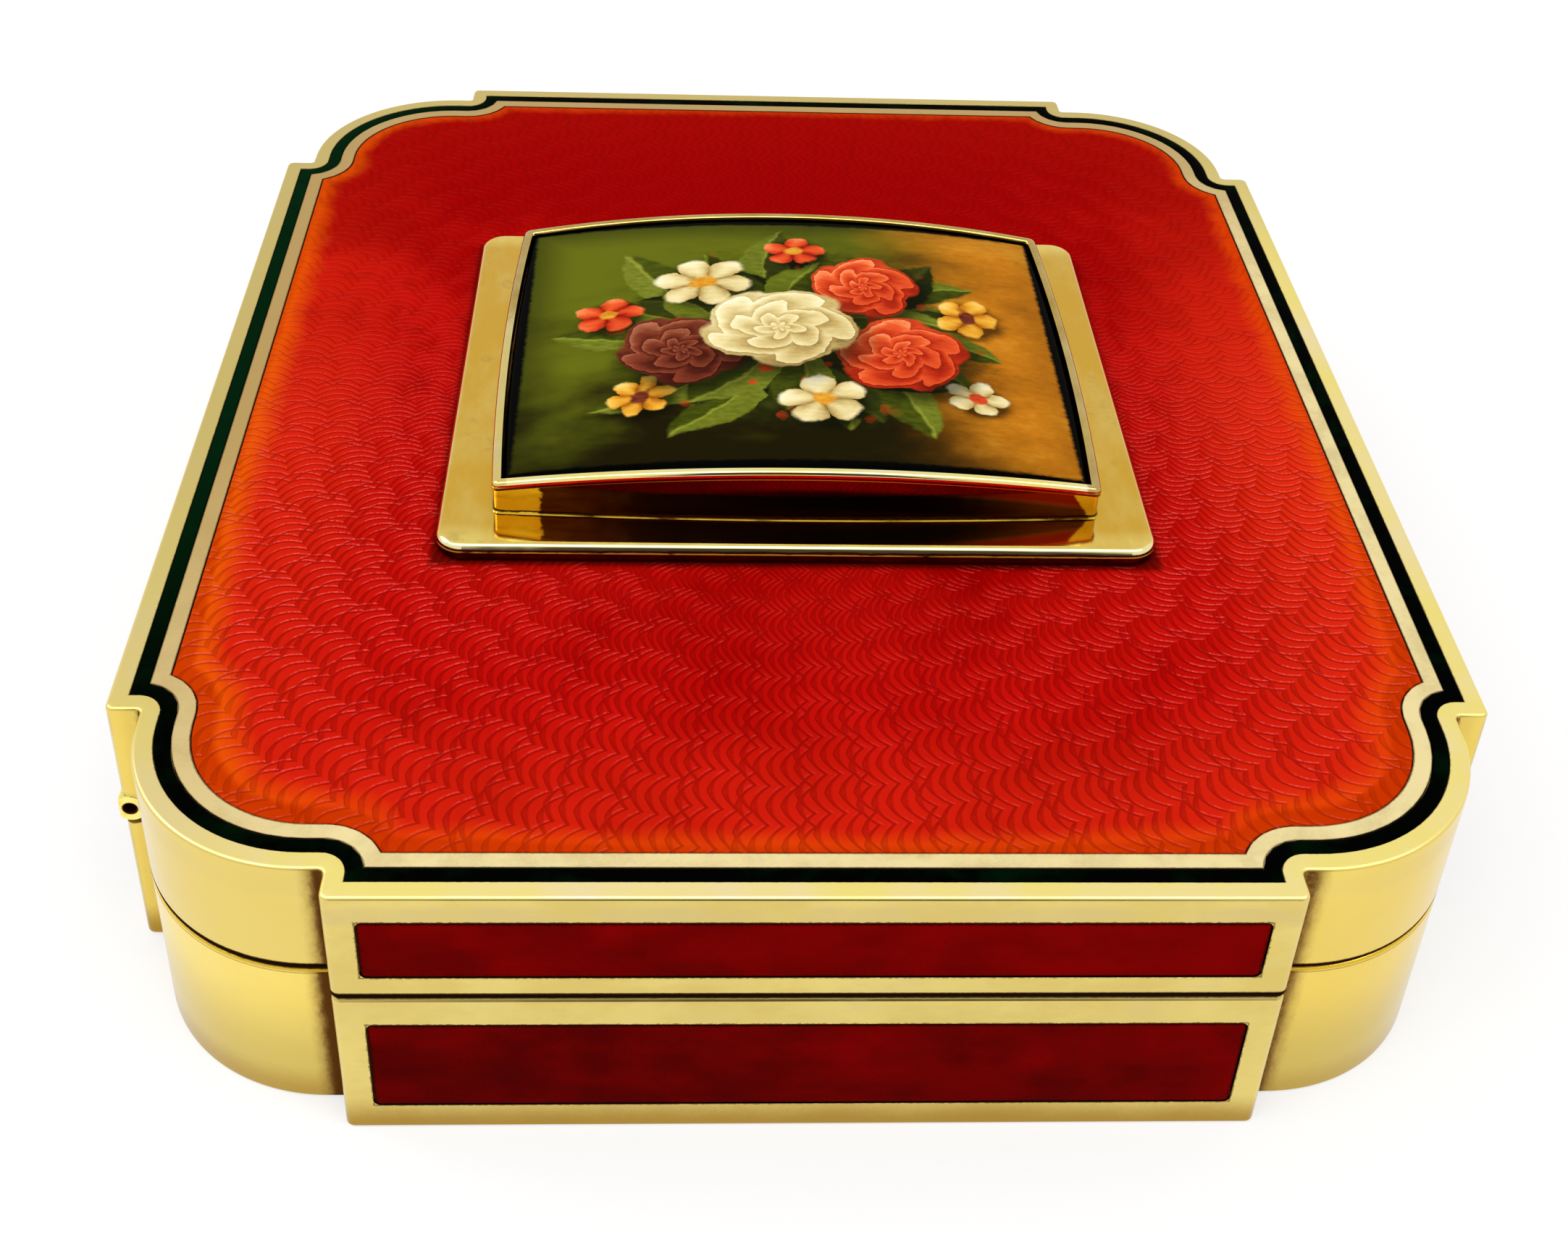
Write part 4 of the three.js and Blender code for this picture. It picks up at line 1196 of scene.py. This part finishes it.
class TableBoxColours(bpy.types.PropertyGroup):
    """Colours of the metal and the enamels."""

    gilt: tone("Gilt", "Gilt metal of the round corners", 236, 205, 96)
    gilt_pale: tone("Pale gilt", "Where the gilding is thin", 255, 236, 136)
    # Gilt of the panels, a little darker than the corners' as painted shade; it also dulls the lid's round
    # corners
    gilt_flat: tone("Flat gilt", "Gilt metal of the panels", 216, 192, 108)
    gilt_flat_pale: tone("Pale flat gilt", "Where the panels are polished", 228, 207, 120)
    gilt_low: tone("Low gilt", "Gilt metal lower down on the round corners", 200, 176, 90)
    gilt_worn: tone("Worn gilt", "Smears and rubbed places", 206, 184, 124)
    gilt_foot: tone("Gilt of the foot", "Gilt metal low down on the walls", 164, 124, 34)
    gilt_deep: tone("Deep gilt", "Thin smears of the mount", 150, 96, 24)
    gilt_mount: tone("Mount gilt", "Gilt metal of the mount", 222, 174, 56)
    gilt_mount_pale: tone("Pale mount gilt", "Lighter clouds of the mount", 228, 192, 92)
    # Also the painted highlight on the mount's roll
    gilt_cream: tone("Cream gilt", "Polished rolls and beads", 255, 244, 176)
    # Painted highlight under the seam and painted reflections at the ends of the bezel's wall
    gilt_painted_glint: tone("Glowing gilt", "Clean ends of the bezel's wall", 238, 192, 52)
    gilt_rubbed: tone("Rubbed gilt", "Flat lines between the lid's enamels", 255, 236, 174)
    # Painted shade on the lid's top by the hinge and at the back
    gilt_dim: tone("Dim gilt", "Gilt metal by the hinge and at the back", 214, 192, 114)
    # Painted shade on the inner gilt line by the hinge and at the back
    gilt_line: tone("Dim gilt line", "Inner gilt line by the hinge and at the back", 198, 163, 96)
    # Painted shade on the bezel's wall, the mount's side, the hinge's grooves and the knuckles' bores; also
    # in the pin's colour
    gilt_shadow: tone("Shadowed gilt", "Where polish can't reach the bezel's wall", 74, 28, 4)
    # Real tarnish round the enamels and the lines, and painted shade in the angles, along the seam and on
    # the bezel's wall
    tarnish_and_shade: tone("Tarnish", "Brown in the angles", 88, 50, 14)
    # Tarnish and painted shade beside the steps and at the bezel's upright corners
    tan_tarnish_and_shade: tone("Tan tarnish", "Soft brown beside the angles", 146, 108, 44)
    # Dirt at the bezel's foot and the pin's dark, and the painted shadow in the seam and painted shade on
    # the mount's side and the bezel's wall
    dark_tarnish_and_shadow: tone("Dark tarnish", "Dirt in the hinge and the seam", 26, 12, 2)
    # Also the painted red reflection on the bezel's wall
    wall_red_and_reflection: tone("Wall red", "Enamel of the wall panels", 126, 0, 0)
    wall_red_dark: tone("Dark wall red", "Clouds in the wall panels", 74, 0, 0)
    # Also the painted shadow on the field round the mount's foot
    enamel_edge_and_shadow: tone("Enamel edge", "Where an enamel meets the gilt", 34, 4, 0)
    field_red: tone("Field red", "Enamel of the lid", 184, 14, 8)
    field_red_dark: tone("Dark field red", "Clouds in the lid's enamel", 144, 0, 0)
    field_orange: tone("Field orange", "Enamel near the lid's border", 208, 66, 2)
    field_amber: tone("Field amber", "Lights in the orange on the hinge side", 232, 120, 0)
    field_warm: tone("Warm field red", "Enamel between the middle and the border", 208, 42, 14)
    field_rust: tone("Field rust", "Enamel close to the gilt line", 172, 38, 0)
    field_groove: tone("Groove", "Cuts of the turning", 100, 0, 0)
    # Painted highlight on the flanks of the cuts
    field_flank: tone("Lit flank", "Bright flank beside each cut", 240, 88, 80)
    dark_line: tone("Dark line", "Enamel line round the lid", 0, 1, 0)
    dark_line_green: tone("Green of the dark line", "Lighter clouds in the dark line", 0, 34, 10)
    paint_olive: tone("Olive paint", "Ground of the plaque", 92, 98, 14)
    paint_umber: tone("Umber paint", "Shadows of the plaque", 24, 19, 1)


class TableBoxSizes(bpy.types.PropertyGroup):
    """Sizes that change how the box is finished, not what it is."""

    edge_round: length("Wall edges", "Radius of the walls' outer edges", 0.35 * MM)
    corner_round: length("Panel corners", "Radius of the panels' upright corners", 0.6 * MM)
    enamel_round: length("Enamel edges", "Radius of the enamels' edges", 0.12 * MM)
    mount_round: length("Mount edge", "Radius of the mount's upper edge", 1.1 * MM)
    floor_size: length("Floor", "Width of the floor", 3.0)


# Pieces

class TableBoxOperator:
    """What all the operators share. Each makes its pieces to the sizes in the panel."""

    bl_options = {"REGISTER", "UNDO"}

    def execute(self, context):
        self.make(context.scene.table_box_sizes)
        return {"FINISHED"}


class TABLEBOX_OT_base_wall(TableBoxOperator, bpy.types.Operator):
    """Makes the base's stepped wall, with its cells and hinge grooves"""

    bl_idname = "table_box.base_wall"
    bl_label = "Base wall"

    def make(self, sizes):
        soft = sizes.edge_round
        profile = rounded([
            (0, 0, soft * 0.6),
            (0, SPLIT, soft),
            (BASE_WALL, SPLIT, INNER_ROUND),
            (BASE_WALL, 0, 0),
        ])
        mesh = sweep(box_outline(sizes.corner_round), profile)
        cutters = hinge_grooves("base") + recesses("base")
        piece("gilt_base_wall", mesh, "base", polished_gilt, "base_wall", cutters)


class TABLEBOX_OT_lid_frame(TableBoxOperator, bpy.types.Operator):
    """Makes the lid's stepped frame, with its cells, hinge grooves and nail nick"""

    bl_idname = "table_box.lid_frame"
    bl_label = "Lid frame"

    def make(self, sizes):
        soft = sizes.edge_round
        plate_foot = LID_TOP - TOP_PLATE
        profile = rounded([
            (0, SPLIT, soft),
            (0, LID_TOP, soft * 0.8),
            (GILT_BORDER, LID_TOP, CELL_ROUND),
            (GILT_BORDER, plate_foot, 0),
            (LID_WALL, plate_foot, 0),
            (LID_WALL, SPLIT, INNER_ROUND),
        ])
        mesh = sweep(box_outline(sizes.corner_round), profile)
        cutters = hinge_grooves("lid") + recesses("lid") + [nail_nick()]
        piece("gilt_lid_frame", mesh, "lid", polished_gilt, "lid_frame", cutters)


class TABLEBOX_OT_wall_enamels(TableBoxOperator, bpy.types.Operator):
    """Makes the red enamels in the walls of both halves"""

    bl_idname = "table_box.wall_enamels"
    bl_label = "Wall enamels"

    def make(self, sizes):
        outline = [(0, -PANEL_DEPTH, 0), (0, 0, sizes.enamel_round), (PANEL_FLAT, 0, 0)]
        profile = rounded(outline, closed=False)
        for half, (low, high) in PANEL_LEVELS.items():
            for wall in WALLS:
                node = f"{half}_{wall}_enamel"
                mesh = wall_block(wall, low, high, 0, profile)
                piece(f"red_{node}", mesh, half, wall_enamel, node)


class TABLEBOX_OT_lid_enamels(TableBoxOperator, bpy.types.Operator):
    """Makes the dark line and the red field on the lid"""

    bl_idname = "table_box.lid_enamels"
    bl_label = "Lid enamels"

    def make(self, sizes):
        soft = sizes.enamel_round
        outline = box_outline(0)
        outer = GILT_BORDER + SOLDER
        inner = LINE_END - ENAMEL_GAP
        bed = LID_TOP - DARK_DEPTH
        line = rounded([(outer, bed, 0), (outer, LID_TOP, soft), (inner, LID_TOP, soft), (inner, bed, 0)])
        piece("dark_border_line", sweep(outline, line), "lid", line_enamel,
              "lid_dark_line_enamel")
        edge = FIELD_INSET + ENAMEL_GAP
        field = rounded([
            (edge, LID_TOP - FIELD_DEPTH, 0),
            (edge, LID_TOP, soft),
            (edge + FIELD_FLAT, LID_TOP, 0),
        ], closed=False)
        holes = [stud_hole(*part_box(f"mount_stud_{i}")) for i in range(1, STUDS + 1)]
        piece("red_field", sweep(outline, field, closed=False), "lid", field_enamel,
              "lid_field_enamel", holes)


class TABLEBOX_OT_hinge(TableBoxOperator, bpy.types.Operator):
    """Makes the hinge's knuckles and finishes its pin"""

    bl_idname = "table_box.hinge"
    bl_label = "Hinge"

    def make(self, sizes):
        for half in ("base", "lid"):
            for name in knuckles(half):
                piece(f"gilt_{name}", knuckle(*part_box(name)), half, knuckle_gilt, name)
        finish_node("hinge_pin", old_wire)


class TABLEBOX_OT_mount(TableBoxOperator, bpy.types.Operator):
    """Makes the plaque's mount plate and bezel, and finishes the studs and nuts"""

    bl_idname = "table_box.mount"
    bl_label = "Mount and bezel"

    def make(self, sizes):
        outline = block_outline(MOUNT_HIGH.x, MOUNT_HIGH.y, MOUNT_CORNER, MOUNT_STEPS)
        profile = rounded([
            (MOUNT_BEVEL, LID_TOP, 0),
            (0, LID_TOP + MOUNT_BEVEL, 0.1 * MM),
            (0, MOUNT_TOP, sizes.mount_round),
            (MOUNT_FLAT, MOUNT_TOP, 0),
        ], closed=False, steps=8)
        piece("mirror_mount_plate", sweep(outline, profile, closed=False), "lid", mount_gilt,
              "plaque_mount_plate")
        inner = BEZEL_WALL + LEDGE
        profile = rounded([
            (-BEZEL_SPREAD, ON_MOUNT, 0),
            (BEZEL_WAIST, ON_MOUNT + WAIST_FOOT, 0.1 * MM),
            (BEZEL_WAIST, ON_LIP - BEAD_FOOT, 0.06 * MM),
            (0, ON_LIP - BEAD_BELLY, 0.1 * MM),
            (0, ON_LIP, 0.4 * MM),
            (BEZEL_WALL, ON_LIP, 0.36 * MM),
            (BEZEL_WALL, ON_LEDGE, 0),
            (inner, ON_LEDGE, 0),
            (inner, ON_MOUNT, 0),
        ], steps=5)
        profile = [(inset, bezel_height(level)) for inset, level in profile]
        piece("mirror_bezel", sweep(bezel_outline, profile), "lid", bezel_gilt, "plaque_bezel")
        for i in range(1, STUDS + 1):
            finish_node(f"mount_stud_{i}", satin_gilt)
            finish_node(f"mount_nut_{i}", satin_gilt)


class TABLEBOX_OT_plaque(TableBoxOperator, bpy.types.Operator):
    """Makes the painted plaque in the bezel"""

    bl_idname = "table_box.plaque"
    bl_label = "Painted plaque"

    def make(self, sizes):
        edge = BEZEL_WALL + PLAQUE_GAP
        deepest = BEZEL_HALF_Y - PLAQUE_FLAT - edge
        rings = [deepest * (step / PLAQUE_STEPS) ** 1.8 for step in range(PLAQUE_STEPS + 1)]

        def crown(inward):
            return PLAQUE_CROWN * (1 - (1 - inward / deepest) ** 3)

        rim = BEZEL_LIP - PLAQUE_SINK
        profile = [(edge + inward, arched(PLAQUE_UNDER)) for inward in rings[::-4]]
        profile.append((edge, arched(rim - PLAQUE_ROLL)))
        for step in range(1, ROLL_STEPS):
            turn = math.pi / 2 * step / ROLL_STEPS
            inward = PLAQUE_ROLL * (1 - math.cos(turn))
            profile.append((edge + inward, arched(rim - PLAQUE_ROLL * (1 - math.sin(turn)))))
        over = [inward for inward in rings if inward > PLAQUE_ROLL]
        profile += [(edge + inward, arched(rim + crown(inward))) for inward in over]
        piece("painted_enamel_plaque", sweep(bezel_outline, profile, closed=False), "lid",
              painted_enamel, "painted_plaque", sharp=PLAQUE_SHARP)


class TABLEBOX_OT_inside(TableBoxOperator, bpy.types.Operator):
    """Makes the inner rim and finishes the floor and the lid's top plate"""

    bl_idname = "table_box.inside"
    bl_label = "Inside"

    def make(self, sizes):
        low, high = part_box("base_inner_rim")
        outer = BASE_WALL + SOLDER
        inner = outer + INNER_RIM
        profile = rounded([
            (outer, low.z, 0),
            (outer, high.z, 0.3 * MM),
            (inner, high.z, 0.12 * MM),
            (inner, low.z, 0),
        ])
        piece("gilt_inner_rim", sweep(box_outline(0), profile), "base", satin_gilt,
              "base_inner_rim")
        finish_node("base_floor_plate", satin_gilt)
        finish_node("lid_top_plate", satin_gilt)


# Stage: the sky's dark gap, the softboxes' places, sizes and powers, and the photo's fitted camera
FLOOR_LEVEL = -0.02 * MM
SKY_STRENGTH = 0.82
GAP_COLOUR = (0.07, 0.06, 0.05)
GAP_TURN = 0.07
GAP_SIDES = (0.24, 0.14)
GAP_TOP = (0.82, 0.7)
SOFTBOXES = (
    ("long_softbox", (0.0, -0.22, 0.62), (1.2, 0.2), 2.6),
    ("side_softbox", (-0.6, 0.1, 0.5), (0.4, 0.4), 1.2),
)
PHOTO_SIZE = (2165, 1708)
PHOTO_CENTRE = (1076.36, 557.38)
FOCAL_PIXELS = 2862.78
CAMERA_TURNS = (34.573, 2.703, 3.503)
CAMERA_PLACE = (-9.273 * MM, -141.772 * MM, 118.643 * MM)
SENSOR_WIDTH = 36
NEAREST_SEEN = 0.01


class TABLEBOX_OT_stage(TableBoxOperator, bpy.types.Operator):
    """Sets the floor, the light and the camera"""

    bl_idname = "table_box.stage"
    bl_label = "Stage, light and camera"

    def make(self, sizes):
        self.make_floor(sizes.floor_size / 2)
        self.make_sky()
        self.make_softboxes()
        self.make_camera()

    def make_floor(self, half):
        mesh = bmesh.new()
        bmesh.ops.create_grid(mesh, x_segments=8, y_segments=8, size=half)
        floor = add_object("pale_floor", data_of("pale_floor", mesh))
        floor.location.z = FLOOR_LEVEL
        floor.data.materials.append(pale_floor())
        floor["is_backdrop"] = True

    def make_sky(self):
        world = bpy.data.worlds.new("Soft studio")
        bpy.context.scene.world = world
        sky = Nodes(world)
        x, y, z = sky.split(sky.add("ShaderNodeTexCoord", output="Generated"))
        # A dark gap between the softboxes, in front of the box
        beside = abs(x.direction(y * -1) - GAP_TURN)
        gap = sky.ramp(beside, *GAP_SIDES) * sky.ramp(z, *GAP_TOP)
        shade = sky.mix(gap, (1, 1, 1), GAP_COLOUR)
        background = {"Color": shade, "Strength": SKY_STRENGTH}
        sky.end("ShaderNodeOutputWorld", sky.add("ShaderNodeBackground", None, background))

    def make_softboxes(self):
        middle = Vector((0, 0, SPLIT))
        for name, place, (width, depth), power in SOFTBOXES:
            lamp = bpy.data.lights.new(name, "AREA")
            lamp.shape = "RECTANGLE"
            lamp.size = width
            lamp.size_y = depth
            lamp.energy = power
            holder = add_object(name, lamp)
            holder.location = place
            holder.rotation_euler = (middle - Vector(place)).to_track_quat("-Z", "Y").to_euler()

    def make_camera(self):
        width, height = PHOTO_SIZE
        column, row = PHOTO_CENTRE
        pitch, roll, yaw = (math.radians(angle) for angle in CAMERA_TURNS)
        lens = bpy.data.cameras.new("photo_camera")
        lens.sensor_fit = "HORIZONTAL"
        lens.sensor_width = SENSOR_WIDTH
        lens.lens = SENSOR_WIDTH * FOCAL_PIXELS / width
        lens.shift_x = (width / 2 - column) / width
        lens.shift_y = (row - height / 2) / width
        lens.clip_start = NEAREST_SEEN
        ahead = Vector((math.sin(yaw) * math.cos(pitch), math.cos(yaw) * math.cos(pitch), -math.sin(pitch)))
        right = Vector((math.cos(yaw), -math.sin(yaw), 0))
        up = right.cross(ahead)
        across = right * math.cos(roll) + up * math.sin(roll)
        upward = up * math.cos(roll) - right * math.sin(roll)
        camera = add_object("photo_camera", lens)
        turn = Matrix((across, upward, -ahead)).transposed().to_4x4()
        camera.matrix_world = Matrix.Translation(CAMERA_PLACE) @ turn
        bpy.context.scene.camera = camera


OPERATORS = (
    TABLEBOX_OT_base_wall,
    TABLEBOX_OT_lid_frame,
    TABLEBOX_OT_wall_enamels,
    TABLEBOX_OT_lid_enamels,
    TABLEBOX_OT_hinge,
    TABLEBOX_OT_mount,
    TABLEBOX_OT_plaque,
    TABLEBOX_OT_inside,
    TABLEBOX_OT_stage,
)


class TABLEBOX_PT_panel(bpy.types.Panel):
    """The box's sizes, colours and makers"""

    bl_idname = "TABLEBOX_PT_panel"
    bl_label = "Table Box"
    bl_space_type = "VIEW_3D"
    bl_region_type = "UI"
    bl_category = "Table Box"

    def draw(self, context):
        for group in (context.scene.table_box_sizes, context.scene.table_box_colours):
            column = self.layout.column()
            for name in group.__annotations__:
                column.prop(group, name)
        for operator in OPERATORS:
            self.layout.operator(operator.bl_idname)


CLASSES = (TableBoxColours, TableBoxSizes, *OPERATORS, TABLEBOX_PT_panel)


def register():
    for kind in CLASSES:
        bpy.utils.register_class(kind)
    bpy.types.Scene.table_box_colours = bpy.props.PointerProperty(type=TableBoxColours)
    bpy.types.Scene.table_box_sizes = bpy.props.PointerProperty(type=TableBoxSizes)


def unregister():
    del bpy.types.Scene.table_box_colours
    del bpy.types.Scene.table_box_sizes
    for kind in reversed(CLASSES):
        bpy.utils.unregister_class(kind)


def main():
    register()
    bpy.context.scene.view_settings.view_transform = "Standard"
    for operator in OPERATORS:
        family, name = operator.bl_idname.split(".")
        getattr(getattr(bpy.ops, family), name)()
    both = {"cad": cad_bounds, "visual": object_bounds()}
    sizes = {name: [list(corner) for corner in bounds] for name, bounds in both.items()}


if __name__ == "__main__":
    main()
